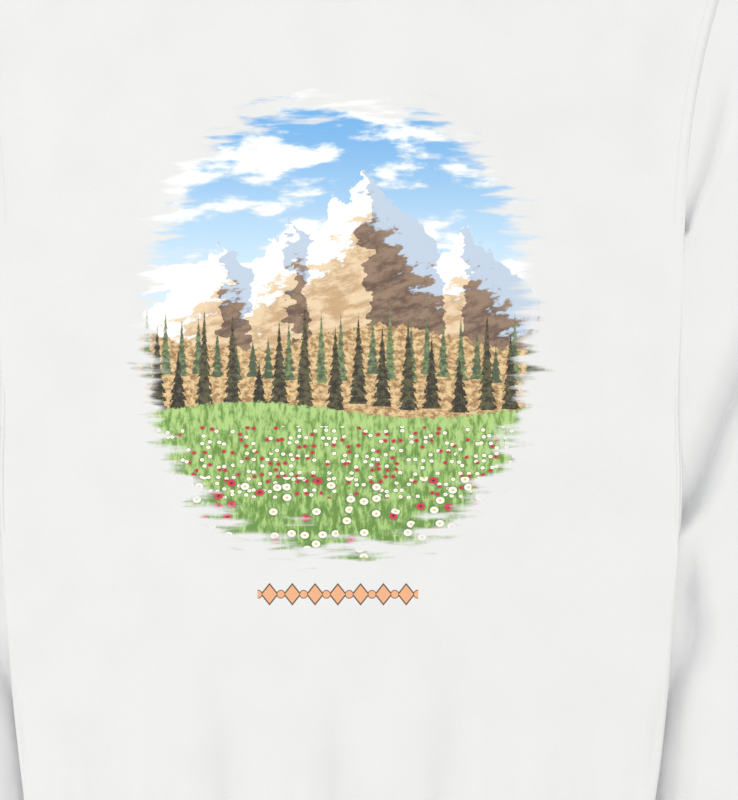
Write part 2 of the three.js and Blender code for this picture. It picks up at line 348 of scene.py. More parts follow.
def flat_tube(edges: Array, u: Array, bow: Array = 0.0) -> tuple[Array, Array, Array, Array]:
    """Plan of a flattened tube, whose top runs from its inner to its outer edge and its underside back.

    The share of the width is (1 - cos(turn)) / 2, and the top is where sin(turn) is positive.

    Args:
        edges: Inner x, inner y, outer x and outer y at each point's place along the tube.
        u: Place round the tube, from 0 to 1.
        bow: How far the armhole bows out, in millimetres.

    Returns:
        The points in plan, the share of the width, the width, and whether it is the top.
    """
    share = (1.0 - np.cos(math.tau * u)) / 2.0
    start, end = edges[..., :2], edges[..., 2:]
    points = lerp(start, end, share[..., None])
    points[..., 0] -= bow * share * (1.0 - share)
    return points, share, np.linalg.norm(end - start, axis=-1), np.sin(math.tau * u) >= -1e-9


# Cloth surfaces


@dataclass
class Surface:
    """The outside of a piece of cloth as a grid of points.

    Attributes:
        points: Columns by rows by 3, in millimetres.
        ring: Whether the last column is the first one again.
        loop: Whether the last row is the first one again.
        outward: 1 where columns crossed with rows point out of the cloth, otherwise -1.
    """

    points: Array
    ring: bool = False
    loop: bool = False
    outward: float = 1.0

    def normals(self) -> Array:
        """Unit normals, from the steps to the neighbouring points."""
        steps = []
        for axis, closed in ((0, self.ring), (1, self.loop)):
            grid = np.moveaxis(self.points, axis, 0)
            before = grid[-2:-1] if closed else 2 * grid[:1] - grid[1:2]
            after = grid[1:2] if closed else 2 * grid[-1:] - grid[-2:-1]
            padded = np.concatenate([before, grid, after])
            steps.append(np.moveaxis(padded[2:] - padded[:-2], 0, axis))
        normal = np.cross(steps[0], steps[1]) * self.outward
        return normal / np.maximum(np.linalg.norm(normal, axis=2, keepdims=True), 1e-9)

    def raised(self, height: Array) -> "Surface":
        """The surface moved out along its normals by a height at each point, and kept off the floor."""
        points = self.points + self.normals() * height[..., None]
        points[..., 2] = np.maximum(points[..., 2], 0.0)
        return Surface(points, self.ring, self.loop, self.outward)

    def flat(self) -> Array:
        """Where each point lies on the cut cloth: its length across and along the grid, in millimetres."""
        return np.stack([travelled(self.points, 0), travelled(self.points, 1)], axis=-1)

    def from_edge(self, edge: Edge) -> Array:
        """Length along the cloth from one edge to each point."""
        axis = 0 if edge in (Edge.FIRST_COLUMN, Edge.LAST_COLUMN) else 1
        length = travelled(self.points, axis)
        if edge in (Edge.LAST_COLUMN, Edge.LAST_ROW):
            length = np.take(length, [-1], axis=axis) - length
        return length

    def line_beside(self, edge: Edge, distance: float, part: slice = slice(None)) -> "Line":
        """The line on the cloth that keeps a distance from one edge.

        Args:
            edge: The edge that the line follows.
            distance: How far from the edge it runs, in millimetres.
            part: The stretch of the edge that it follows.

        Returns:
            The line, with the cloth's normals.
        """
        grids = [self.points, self.normals()]
        if edge in (Edge.FIRST_ROW, Edge.LAST_ROW):
            grids = [np.swapaxes(grid, 0, 1) for grid in grids]
        if edge in (Edge.LAST_COLUMN, Edge.LAST_ROW):
            grids = [grid[::-1] for grid in grids]
        points, normals = (grid[:, part] for grid in grids)
        length = travelled(points, 0)
        k = np.clip((length <= distance).sum(axis=0) - 1, 0, len(length) - 2)
        along = np.arange(points.shape[1])
        share = ((distance - length[k, along]) / (length[k + 1, along] - length[k, along]))[:, None]
        return Line(*(lerp(grid[k, along], grid[k + 1, along], share) for grid in (points, normals)))

    def piece(self, name: str, finishes: Sequence[bpy.types.Material], flat: Array) -> bpy.types.Object:
        """A mesh object of the surface, in metres, with the cut cloth's places as its UV map.

        Args:
            name: Name of the object.
            finishes: Its materials, the outside's first.
            flat: Where each point lies on the cut cloth, in millimetres.

        Returns:
            The object, linked to the scene.
        """
        columns, rows = self.points.shape[:2]
        kept = (columns - self.ring, rows - self.loop)
        i, j = np.meshgrid(np.arange(columns - 1), np.arange(rows - 1), indexing="ij")
        corners = [(i, j), (i + 1, j), (i + 1, j + 1), (i, j + 1)]
        if self.outward < 0:
            corners.reverse()
        index = np.stack([(a % kept[0]) * kept[1] + b % kept[1] for a, b in corners], axis=-1).reshape(-1)
        place = np.stack([flat[a, b] for a, b in corners], axis=2).reshape(-1, 2)
        mesh = bpy.data.meshes.new(name)
        mesh.vertices.add(kept[0] * kept[1])
        mesh.loops.add(len(index))
        mesh.polygons.add(len(index) // 4)
        spots = in_scene(self.points[: kept[0], : kept[1]])
        mesh.vertices.foreach_set("co", spots.astype(np.float32).ravel())
        mesh.loops.foreach_set("vertex_index", index.astype(np.int32))
        mesh.polygons.foreach_set("loop_start", np.arange(0, len(index), 4, dtype=np.int32))
        add_cut_map(mesh, place)
        mesh.update(calc_edges=True)
        mesh.polygons.foreach_set("use_smooth", np.ones(len(mesh.polygons), dtype=bool))
        return linked(name, mesh, finishes)


@dataclass
class Line:
    """A line on the cloth.

    Attributes:
        points: Its points, in millimetres.
        normals: The cloth's normals there.
    """

    points: Array
    normals: Array

    def frames(self, pitch: float) -> tuple[Array, Array, Array]:
        """Places at even steps along the line.

        Args:
            pitch: The wanted length of a step.

        Returns:
            Places, directions along the line and normals, one row for each step.
        """
        length = travelled(self.points)
        count = max(int(length[-1] // pitch), 1)
        middle = (np.arange(count) + 0.5) * length[-1] / count

        def pick(values: Array, at: Array) -> Array:
            """Values at some lengths along the line."""
            return np.stack([np.interp(at, length, value) for value in values.T], axis=-1)

        along = pick(self.points, middle + 0.5) - pick(self.points, middle - 0.5)
        along /= np.linalg.norm(along, axis=1, keepdims=True)
        normal = pick(self.normals, middle)
        normal -= along * np.sum(normal * along, axis=1, keepdims=True)
        return pick(self.points, middle), along, normal / np.linalg.norm(normal, axis=1, keepdims=True)


def in_scene(points: Array) -> Array:
    """Points as rows in metres in the scene's frame, from millimetres and the level of the armpits."""
    return points.reshape(-1, 3) * MM + np.array([0.0, ARMPIT_LEVEL, 0.0])


def add_cut_map(mesh: bpy.types.Mesh, place: Array) -> None:
    """Adds the UV map with each face corner's place on the cut cloth, which is given in millimetres."""
    mesh.uv_layers.new(name=CUT_MAP).data.foreach_set("uv", (place * MM).astype(np.float32).ravel())


def linked(name: str, mesh: bpy.types.Mesh, finishes: Sequence[bpy.types.Material]) -> bpy.types.Object:
    """An object of a mesh with its materials, in the scene."""
    for finish in finishes:
        mesh.materials.append(finish)
    piece = bpy.data.objects.new(name, mesh)
    bpy.context.scene.collection.objects.link(piece)
    log.info("%s: %d points, %d faces", name, len(mesh.vertices), len(mesh.polygons))
    return piece


def thicken(piece: bpy.types.Object, thickness: float, inside: int = 1,
            pinched: Union[Array, None] = None, pinch: float = 0.05) -> None:
    """Gives a sheet its thickness, inwards from its outside.

    Args:
        piece: The sheet.
        thickness: Thickness in millimetres.
        inside: How many material slots further on the inside's material is.
        pinched: The vertices where it is pinched.
        pinch: Share of the thickness that is left there.
    """
    wall = piece.modifiers.new("thickness", "SOLIDIFY")
    wall.thickness = thickness * MM
    wall.offset = -1.0
    wall.material_offset = inside
    wall.material_offset_rim = inside
    if pinched is not None:
        full = piece.vertex_groups.new(name="wall")
        full.add(list(range(len(piece.data.vertices))), 1.0, "REPLACE")
        full.add(pinched.tolist(), pinch, "REPLACE")
        wall.vertex_group = full.name


# Node graphs


def operator(operation: str, swap: bool = False) -> Callable[["Signal", Number], "Signal"]:
    """A method of signals that makes the node of one operation, its inputs swapped where that is told."""
    return lambda signal, other: signal.maths(operation, other, swap=swap)


class Signal:
    """A number in a material's nodes. Sums, products and comparisons of signals make further nodes.

    Attributes:
        tree: The node tree.
        socket: The output socket that gives the number.
    """

    def __init__(self, tree: bpy.types.NodeTree, socket: bpy.types.NodeSocket) -> None:
        """Wraps an output socket of a node tree."""
        self.tree = tree
        self.socket = socket

    def maths(self, operation: str, *others: Number, swap: bool = False) -> "Signal":
        """The result of one number node.

        Args:
            operation: Name of the operation.
            others: The further inputs.
            swap: Whether the first other input comes before this signal.

        Returns:
            The node's result.
        """
        node = self.tree.nodes.new("ShaderNodeMath")
        node.operation = operation
        terms = (others[0], self, *others[1:]) if swap else (self, *others)
        for slot, term in zip(node.inputs, terms):
            feed(self.tree, slot, term)
        return Signal(self.tree, node.outputs[0])

    __add__ = __radd__ = operator("ADD")
    __sub__ = operator("SUBTRACT")
    __rsub__ = operator("SUBTRACT", swap=True)
    __mul__ = __rmul__ = operator("MULTIPLY")
    __truediv__ = operator("DIVIDE")
    # Comparisons give 1 where they hold, otherwise 0.
    __gt__ = operator("GREATER_THAN")
    __lt__ = operator("LESS_THAN")
    # The greater and the smaller of the two.
    __or__ = operator("MAXIMUM")
    __and__ = operator("MINIMUM")

    def __abs__(self) -> "Signal":
        """Size without sign."""
        return self.maths("ABSOLUTE")

    def sine(self) -> "Signal":
        """Sine."""
        return self.maths("SINE")

    def fraction(self) -> "Signal":
        """What is left above the whole number below."""
        return self.maths("FRACT")

    def smooth(self, low: float, high: float) -> "Signal":
        """From 0 at low to 1 at high, level at both."""
        node = self.tree.nodes.new("ShaderNodeMapRange")
        node.interpolation_type = "SMOOTHSTEP"
        feed(self.tree, node.inputs["Value"], self)
        node.inputs["From Min"].default_value = low
        node.inputs["From Max"].default_value = high
        return Signal(self.tree, node.outputs["Result"])


def feed(tree: bpy.types.NodeTree, slot: bpy.types.NodeSocket, value: object) -> None:
    """Links a signal or socket to an input, or sets the input to a number or colour."""
    if isinstance(value, Signal):
        tree.links.new(value.socket, slot)
    elif isinstance(value, bpy.types.NodeSocket):
        tree.links.new(value, slot)
    elif isinstance(value, tuple) and len(value) == 3 and slot.type == "RGBA":
        slot.default_value = (*value, 1.0)
    else:
        slot.default_value = value


class Cloth:
    """The nodes of one cloth material, with the cut cloth's places in millimetres as x and y.

    Attributes:
        SPECULAR: Level of every cloth's plain reflection.
        SHEEN_ROUGHNESS: Roughness of every cloth's sheen.
        material: The material.
        tree: Its node tree.
        shader: Its surface node.
        x: Place across the cloth.
        y: Place along the cloth.
    """

    SPECULAR = 0.25
    SHEEN_ROUGHNESS = 0.6

    def __init__(self, name: str, roughness: float, sheen: float) -> None:
        """Starts a material with a matt surface and a soft sheen.

        Args:
            name: Name of the material.
            roughness: Roughness of the surface.
            sheen: Weight of the sheen.
        """
        self.material = bpy.data.materials.new(name)
        self.material.use_nodes = True
        self.tree = self.material.node_tree
        self.shader = self.tree.nodes["Principled BSDF"]
        self.shader.inputs["Roughness"].default_value = roughness
        self.shader.inputs["Specular IOR Level"].default_value = self.SPECULAR
        self.shader.inputs["Sheen Weight"].default_value = sheen
        self.shader.inputs["Sheen Roughness"].default_value = self.SHEEN_ROUGHNESS
        uv = self.tree.nodes.new("ShaderNodeUVMap")
        uv.uv_map = CUT_MAP
        apart = self.tree.nodes.new("ShaderNodeSeparateXYZ")
        self.tree.links.new(uv.outputs["UV"], apart.inputs[0])
        self.x = Signal(self.tree, apart.outputs[0]) * (1 / MM)
        self.y = Signal(self.tree, apart.outputs[1]) * (1 / MM)

    def vector(self, x: Number, y: Number, z: Number = 0.0) -> bpy.types.NodeSocket:
        """A vector of three numbers."""
        node = self.tree.nodes.new("ShaderNodeCombineXYZ")
        for slot, value in zip(node.inputs, (x, y, z)):
            feed(self.tree, slot, value)
        return node.outputs[0]

    def noise(self, x: Number, y: Number, detail: float = 2.0, roughness: float = 0.5) -> Signal:
        """Fractal noise around 0.5 at a place whose unit is the size of its largest blots."""
        node = self.tree.nodes.new("ShaderNodeTexNoise")
        node.noise_dimensions = "2D"
        node.inputs["Scale"].default_value = 1.0
        node.inputs["Detail"].default_value = detail
        node.inputs["Roughness"].default_value = roughness
        feed(self.tree, node.inputs["Vector"], self.vector(x, y))
        return Signal(self.tree, node.outputs["Fac"])

    def chance(self, number: Signal) -> Signal:
        """A number from 0 to 1 that differs from one whole number to the next."""
        node = self.tree.nodes.new("ShaderNodeTexWhiteNoise")
        node.noise_dimensions = "1D"
        feed(self.tree, node.inputs["W"], number)
        return Signal(self.tree, node.outputs["Value"])

    def mix(self, under: object, over: object, share: Number) -> bpy.types.NodeSocket:
        """One colour laid over another.

        Args:
            under: Colour or socket below.
            over: Colour or socket above.
            share: How much of the upper one covers.

        Returns:
            The mixed colour.
        """
        node = self.tree.nodes.new("ShaderNodeMix")
        node.data_type = "RGBA"
        node.clamp_factor = True
        for slot, value in zip((node.inputs[0], node.inputs[6], node.inputs[7]), (share, under, over)):
            feed(self.tree, slot, value)
        return node.outputs[2]

    def colour(self, value: object) -> None:
        """Sets the colour of the surface."""
        feed(self.tree, self.shader.inputs["Base Color"], value)

    def bump(self, height: Signal, distance: float) -> None:
        """Adds a relief to the surface, its height of 1 standing distance millimetres high."""
        node = self.tree.nodes.new("ShaderNodeBump")
        node.inputs["Strength"].default_value = 1.0
        node.inputs["Distance"].default_value = distance * MM
        feed(self.tree, node.inputs["Height"], height)
        self.tree.links.new(node.outputs[0], self.shader.inputs["Normal"])


# Finishes


@dataclass(frozen=True)
class Fleece:
    """The smooth knitted face of white fleece.

    Attributes:
        name: Name of the material.
        white: Colour of the yarn.
        shade: Colour of its slightly greyer blots.
        wale: Width of one column of stitches, in millimetres.
        course: Height of one stitch.
        relief: Height of the knit's relief.
        fuzz: Height of the pile's unevenness.
        tuft: Size of the pile's tufts.
        blot: Size of the yarn's blots.
        sheen: Weight of the sheen.
        roughness: Roughness of the surface.
    """

    name: str = "fleece_face"
    white: Colour = (0.755, 0.76, 0.785)
    shade: Colour = (0.74, 0.746, 0.775)
    wale: float = 1.3
    course: float = 1.0
    relief: float = 0.045
    fuzz: float = 0.10
    tuft: float = 2.4
    blot: float = 55.0
    sheen: float = 0.12
    roughness: float = 0.92

    def knit(self, cloth: Cloth) -> Signal:
        """Height of the knit: columns of stitches, each a V whose two legs rise away from its middle."""
        across = (cloth.x / self.wale).fraction() - 0.5
        leg = ((cloth.y / self.course + abs(across) * 1.4) * math.tau).sine()
        groove = abs(across) * 2.0
        return leg * 0.5 + (1.0 - groove * groove) * 0.8

    def base(self, cloth: Cloth) -> object:
        """Colour of the yarn with faint blots."""
        blots = cloth.noise(cloth.x / self.blot, cloth.y / self.blot).smooth(0.35, 0.75)
        return cloth.mix(self.white, self.shade, blots)

    def material(self) -> bpy.types.Material:
        """The finished material."""
        cloth = Cloth(self.name, self.roughness, self.sheen)
        cloth.colour(self.base(cloth))
        pile = cloth.noise(cloth.x / self.tuft, cloth.y / self.tuft, 3.0) * (self.fuzz / self.relief)
        cloth.bump(self.knit(cloth) + pile, self.relief)
        return cloth.material


@dataclass(frozen=True)
class BrushedInside(Fleece):
    """The brushed, furry inside of the fleece."""

    name: str = "fleece_inside"
    white: Colour = (0.77, 0.775, 0.80)
    relief: float = 0.05
    fuzz: float = 0.6
    sheen: float = 0.3
    roughness: float = 1.0


@dataclass(frozen=True)
class RibKnit(Fleece):
    """White rib knit, whose ribs are in the mesh and whose stitches are in the relief."""

    name: str = "rib_knit"
    white: Colour = (0.75, 0.755, 0.78)
    wale: float = 1.55
    course: float = 1.1
    relief: float = 0.06
    fuzz: float = 0.06
    sheen: float = 0.1


@dataclass(frozen=True)
class Thread(Fleece):
    """White sewing thread and twill tape."""

    name: str = "thread"
    white: Colour = (0.77, 0.775, 0.80)
    wale: float = 0.5
    course: float = 0.6
    relief: float = 0.03
    fuzz: float = 0.02
    sheen: float = 0.0
    roughness: float = 0.6


@dataclass(frozen=True)
class PrintedFleece(Fleece):
    """Fleece with a mountain landscape printed on the chest and a row of ornaments under it.

    Attributes:
        centre: Middle of the landscape on the cut cloth, in millimetres.
        half: Half width and half height of the landscape.
        squareness: Power of the landscape's outline, 2 for an ellipse and more towards a rectangle.
        peaks: Middle, height and slope of each peak, in millimetres.
        conifers: Spacing, level, height, seed, dark and light colour of each row of conifers.
        flowers: Size, lowest and highest level, and seed of each bed of flowers.
        ornament_drop: How far under the middle the row of ornaments is.
        ornament_pitch: From one ornament to the next.
        ornament_half: Half length of the row.
    """

    name: str = "printed_fleece"
    centre: tuple[float, float] = (-1.5, -71.5)
    half: tuple[float, float] = (154.0, 178.0)
    squareness: float = 2.4
    peaks: Pairs = ((-86.0, 62.0, 0.85), (22.0, 118.0, 1.15), (96.0, 74.0, 0.95), (-34.0, 78.0, 1.05))
    conifers: Sequence = (
        (13.0, -42.0, 44.0, 3.4, (0.07, 0.10, 0.06), (0.20, 0.27, 0.12)),
        (19.0, -64.0, 62.0, 7.7, (0.025, 0.022, 0.015), (0.11, 0.10, 0.05)),
    )
    flowers: Pairs = ((5.5, -128.0, -74.0, 0.0), (11.0, -172.0, -112.0, 31.0))
    ornament_drop: float = 199.5
    ornament_pitch: float = 17.0
    ornament_half: float = 60.0

    def outline(self, cloth: Cloth, x: Signal, y: Signal) -> Signal:
        """How much ink lies at a place: a soft upright superellipse with brushed edges."""
        across, along = abs(x) / self.half[0], abs(y) / self.half[1]
        power = self.squareness
        reach = (across.maths("POWER", power) + along.maths("POWER", power)).maths("POWER", 1 / power)
        brush = cloth.noise(x / 46.0, y / 7.0, 3.0) - 0.5
        return 1.0 - (reach + brush * 0.34).smooth(0.86, 0.97)

    def sky(self, cloth: Cloth, x: Signal, y: Signal) -> object:
        """Blue sky, paler towards the horizon, with drifting clouds."""
        colour = cloth.mix((0.62, 0.80, 0.95), (0.16, 0.42, 0.80), y.smooth(10.0, 165.0))
        clouds = cloth.noise(x / 78.0 + 4.2, y / 27.0, 5.0, 0.55)
        colour = cloth.mix(colour, (0.62, 0.74, 0.88), clouds.smooth(0.47, 0.56))
        return cloth.mix(colour, (0.93, 0.95, 0.98), clouds.smooth(0.52, 0.60))

    def mountains(self, cloth: Cloth, x: Signal, y: Signal, under: object) -> object:
        """Brown peaks with snow: the highest of some tents, each lit on its left of a wavering ridge."""
        jagged = (cloth.noise(x / 16.0, y / 40.0, 4.0, 0.6) - 0.5) * 30.0
        waver = (cloth.noise(x / 30.0 + 9.0, y / 15.0, 3.0, 0.6) - 0.5) * 62.0
        top, shadow = x * 0.0 - 60.0, x * 0.0
        bent = x + waver * 0.6 + (cloth.noise(x / 9.0, y / 6.0, 2.0) - 0.5) * 12.0
        for middle, height, slope in self.peaks:
            tent = height - abs(x * 0.35 + bent * 0.65 - middle) * slope
            side = (bent - middle) > 0.0
            higher = tent > top
            shadow = shadow + higher * (side - shadow)
            top = top | tent
        top = top + jagged
        strata = cloth.noise(x / 22.0 + y / 30.0, y / 9.0 - x / 26.0, 5.0, 0.65)
        lit = cloth.mix((0.55, 0.36, 0.20), (0.80, 0.62, 0.42), strata.smooth(0.35, 0.62))
        shaded = cloth.mix((0.13, 0.08, 0.06), (0.30, 0.20, 0.14), strata.smooth(0.35, 0.65))
        rock = cloth.mix(lit, shaded, shadow)
        snow = cloth.mix((0.94, 0.95, 0.97), (0.50, 0.60, 0.76), shadow)
        depth = top - y + (strata - 0.5) * 95.0
        rock = cloth.mix(rock, snow, 1.0 - depth.smooth(30.0, 42.0))
        return cloth.mix(under, rock, (top - y).smooth(-0.6, 0.6))

    def trees(self, cloth: Cloth, x: Signal, y: Signal, spacing: float, base: float, height: float,
              seed: float) -> tuple[Signal, Signal]:
        """A row of conifers: in each cell a triangle with notched sides, of chance height and lean.

        Args:
            cloth: The material's nodes.
            x: Place across.
            y: Place along.
            spacing: Width of a cell.
            base: Level of the roots.
            height: Mean height of a tree.
            seed: Shift that makes each row different.

        Returns:
            Where a tree is, and its chance number.
        """
        cell = x / spacing + seed
        luck = cloth.chance(cell.maths("FLOOR"))
        tall = height * (0.62 + 0.76 * luck)
        share = (y - base - (luck * 9.1).fraction() * 7.0) / tall
        beside = abs(cell.fraction() - 0.5 + ((luck * 5.3).fraction() - 0.5) * 0.24) * spacing
        notch = (share * tall / 6.5 + (cloth.noise(x / 3.0, y / 3.0) - 0.5) * 1.2).fraction()
        half = (1.0 - share) * spacing * 0.40 * (0.62 + 0.5 * (1.0 - notch))
        inside = (half - beside).smooth(0.0, 0.7) * (share > 0.0)
        return inside, luck

    def landscape(self, cloth: Cloth, x: Signal, y: Signal) -> tuple[object, Signal]:
        """The painted landscape, from the sky to the flowers in front, and where it is inked."""
        colour = self.mountains(cloth, x, y, self.sky(cloth, x, y))
        hills = y + 8.0 - (x / 34.0 + 0.6).sine() * 9.0 - (cloth.noise(x / 9.0, y / 60.0, 3.0) - 0.5) * 16.0
        mottle = cloth.noise(x / 5.0, y / 3.5, 4.0, 0.7)
        gold = cloth.mix((0.33, 0.19, 0.08), (0.78, 0.56, 0.30), mottle.smooth(0.36, 0.64))
        colour = cloth.mix(colour, gold, 1.0 - hills.smooth(-0.8, 0.8))
        for *sizes, dark, light in self.conifers:
            tree, luck = self.trees(cloth, x, y, *sizes)
            needles = cloth.mix(dark, light, (mottle + luck * 0.16).smooth(0.48, 0.74))
            colour = cloth.mix(colour, needles, tree)
        ground = y + 62.0 + (x / 41.0).sine() * 6.0 - (mottle - 0.5) * 8.0
        blades = cloth.noise(x / 4.0, y / 11.0, 4.0, 0.65)
        tips = (blades + (y + 110.0) * 0.0012).smooth(0.36, 0.66)
        grass = cloth.mix((0.13, 0.27, 0.05), (0.42, 0.62, 0.22), tips)
        colour = cloth.mix(colour, grass, 1.0 - ground.smooth(-0.8, 0.8))
        return self.blooms(cloth, x, y, colour), self.outline(cloth, x, y)

    def blooms(self, cloth: Cloth, x: Signal, y: Signal, under: object) -> object:
        """Daisies and poppies in the grass: round petals at chance points, larger towards the front."""
        for size, low, high, seed in self.flowers:
            cells = cloth.tree.nodes.new("ShaderNodeTexVoronoi")
            cells.voronoi_dimensions = "2D"
            cells.inputs["Scale"].default_value = 1.0
            feed(cloth.tree, cells.inputs["Vector"], cloth.vector(x / size + seed, y / (size * 0.8)))
            apart = cloth.tree.nodes.new("ShaderNodeSeparateColor")
            cloth.tree.links.new(cells.outputs["Color"], apart.inputs[0])
            luck, kind = (Signal(cloth.tree, apart.outputs[k]) for k in (0, 1))
            away = Signal(cloth.tree, cells.outputs["Distance"])
            petals = 1.0 - away.smooth(0.26, 0.32)
            there = (luck > 0.42) * (y < high) * (y > low)
            bloom = cloth.mix((0.93, 0.92, 0.88), (0.62, 0.03, 0.07), kind > 0.62)
            under = cloth.mix(under, (0.06, 0.14, 0.03), (1.0 - away.smooth(0.36, 0.46)) * there * 0.55)
            under = cloth.mix(under, bloom, petals * there)
            heart = cloth.mix((0.80, 0.50, 0.06), (0.05, 0.02, 0.02), kind > 0.62)
            under = cloth.mix(under, heart, (1.0 - away.smooth(0.07, 0.12)) * there)
        return under

    def ornaments(self, cloth: Cloth, x: Signal, y: Signal, under: object) -> object:
        """A row of lozenges with dots between them, peach with a dark rim."""
        level, pitch = abs(y + self.ornament_drop), self.ornament_pitch
        across = abs((x / pitch + 0.5).fraction() - 0.5) * pitch
        lozenge = across * 1.25 + level
        between = abs((x / pitch).fraction() - 0.5) * pitch
        dot = (between * between + level * level).maths("SQRT") * 2.6
        shape = lozenge & dot
        row = abs(x) < self.ornament_half
        rim = (1.0 - shape.smooth(8.2, 8.8)) * row
        peach = (1.0 - shape.smooth(6.6, 7.2)) * row
        return cloth.mix(cloth.mix(under, (0.12, 0.07, 0.05), rim), (0.80, 0.42, 0.24), peach)

    def base(self, cloth: Cloth) -> object:
        """The yarn's colour under the print, whose ink is a little thinner in the knit's grooves."""
        x, y = cloth.x - self.centre[0], cloth.y - self.centre[1]
        yarn = super().base(cloth)
        picture, ink = self.landscape(cloth, x, y)
        ink = ink * (0.955 + 0.04 * self.knit(cloth))
        return self.ornaments(cloth, x, y, cloth.mix(yarn, picture, ink))


# The sweatshirt


@dataclass(frozen=True)
class Lay:
    """How the body lies: its outline in plan and its heights over the floor, in millimetres.

    Attributes:
        chest_half: Half width at the armpits.
        hem_seam: Level of the seam above the hem band.
        shoulder: Point where shoulder seam and armhole meet.
        neck: Point where shoulder seam and neckline meet.
        side_seam: Half width of the body at its side seams, by level.
        seam_height: Height of the side and shoulder seams, by level.
        side_loft: Height of the front beside the rounded edges, by level.
        crown: How much higher the middle of the front stands, by level.
        side_roll: The rounded sides: reach on top, underneath and of the tight round, and its share.
        shoulder_roll: The same at the shoulders.
    """

    chest_half: float = 258.0
    hem_seam: float = -440.0
    shoulder: tuple[float, float] = (292.0, 198.0)
    neck: tuple[float, float] = (96.0, 262.0)
    side_seam: Pairs = ((-440, 236.5), (-396, 242), (-340, 247), (-200, 254.5), (-120, 253.5), (0, 258))
    seam_height: Pairs = (
        (-505, 19), (-440, 22), (-390, 25), (-330, 36), (-270, 43.5), (-210, 46.6), (-60, 47.5), (0, 45.2),
        (60, 36), (198, 20), (262, 18),
    )
    side_loft: Pairs = ((-505, 35), (-440, 39), (-330, 44), (-60, 48), (0, 47), (198, 41), (262, 38))
    crown: Pairs = ((-505, 3), (-440, 4), (-250, 8), (0, 9), (150, 5), (262, 2))
    side_roll: Sequence[float] = (40.0, 60.0, 3.0, 0.85)
    shoulder_roll: Sequence[float] = (30.0, 30.0, 30.0, 1.0)

    def half(self, y: Array) -> Array:
        """Half width of the body: the side seam below the armpit and the armhole seam above it."""
        share = np.clip(y / self.shoulder[1], 0.0, 1.0)
        armhole = self.chest_half - SEAM_GAP / 2 + (self.shoulder[0] - self.chest_half) * share**2
        return np.where(y <= 0, size_at(self.side_seam, y), armhole)

    def from_side(self, x: Array, y: Array) -> Array:
        """Distance in plan to the fold along the side seam, which ends at the armpit."""
        return np.where(y <= 0, self.half(y) - np.abs(x), np.hypot(self.chest_half - np.abs(x), y))

    def from_shoulder(self, x: Array, y: Array) -> Array:
        """Distance in plan to the fold along the shoulder seam."""
        seam = np.subtract(self.shoulder, self.neck)
        off_x, off_y = np.abs(x) - self.neck[0], y - self.neck[1]
        share = np.clip((off_x * seam[0] + off_y * seam[1]) / np.dot(seam, seam), 0.0, 1.0)
        return np.hypot(off_x - share * seam[0], off_y - share * seam[1])

    def height(self, face: Face, x: Array, y: Array) -> Array:
        """Height of the front's or the back's outside over the floor, rounded down or up to the seams."""
        over = face is Face.FRONT
        fill = filled(self.from_side(x, y), self.side_roll, over)
        fill = fill * filled(self.from_shoulder(x, y), self.shoulder_roll, over)
        seam = size_at(self.seam_height, y) + (SEAM_GAP / 2 if over else -SEAM_GAP / 2)
        return lerp(seam, self.top(x, y), fill) if over else seam * (1.0 - fill)

    def top(self, x: Array, y: Array) -> Array:
        """Height of the front away from its rounded edges."""
        middle = np.cos(math.pi / 2 * np.minimum(np.abs(x) / self.chest_half, 1.0)) ** 2
        return size_at(self.side_loft, y) + size_at(self.crown, y) * middle

    def neckline(self, x: Array, drop: float) -> Array:
        """Level of a panel's top edge: the neckline between the neck points, the shoulder seams beside it."""
        side = np.abs(x)
        scoop = self.neck[1] - drop * np.sqrt(np.clip(1.0 - (side / self.neck[0]) ** 2, 0.0, 1.0))
        slope = (self.shoulder[1] - self.neck[1]) / (self.shoulder[0] - self.neck[0])
        return np.where(side < self.neck[0], scoop, self.neck[1] + slope * (side - self.neck[0]))


LAY = Lay()
# How far each neckline dips under the neck points.
NECK_DROP = {Face.FRONT: 82.0, Face.BACK: 20.0}
# Length of the rounded side on each panel's cloth, as a multiple of its reach in plan.
SIDE_BEND = {Face.FRONT: 2.0, Face.BACK: 1.2}


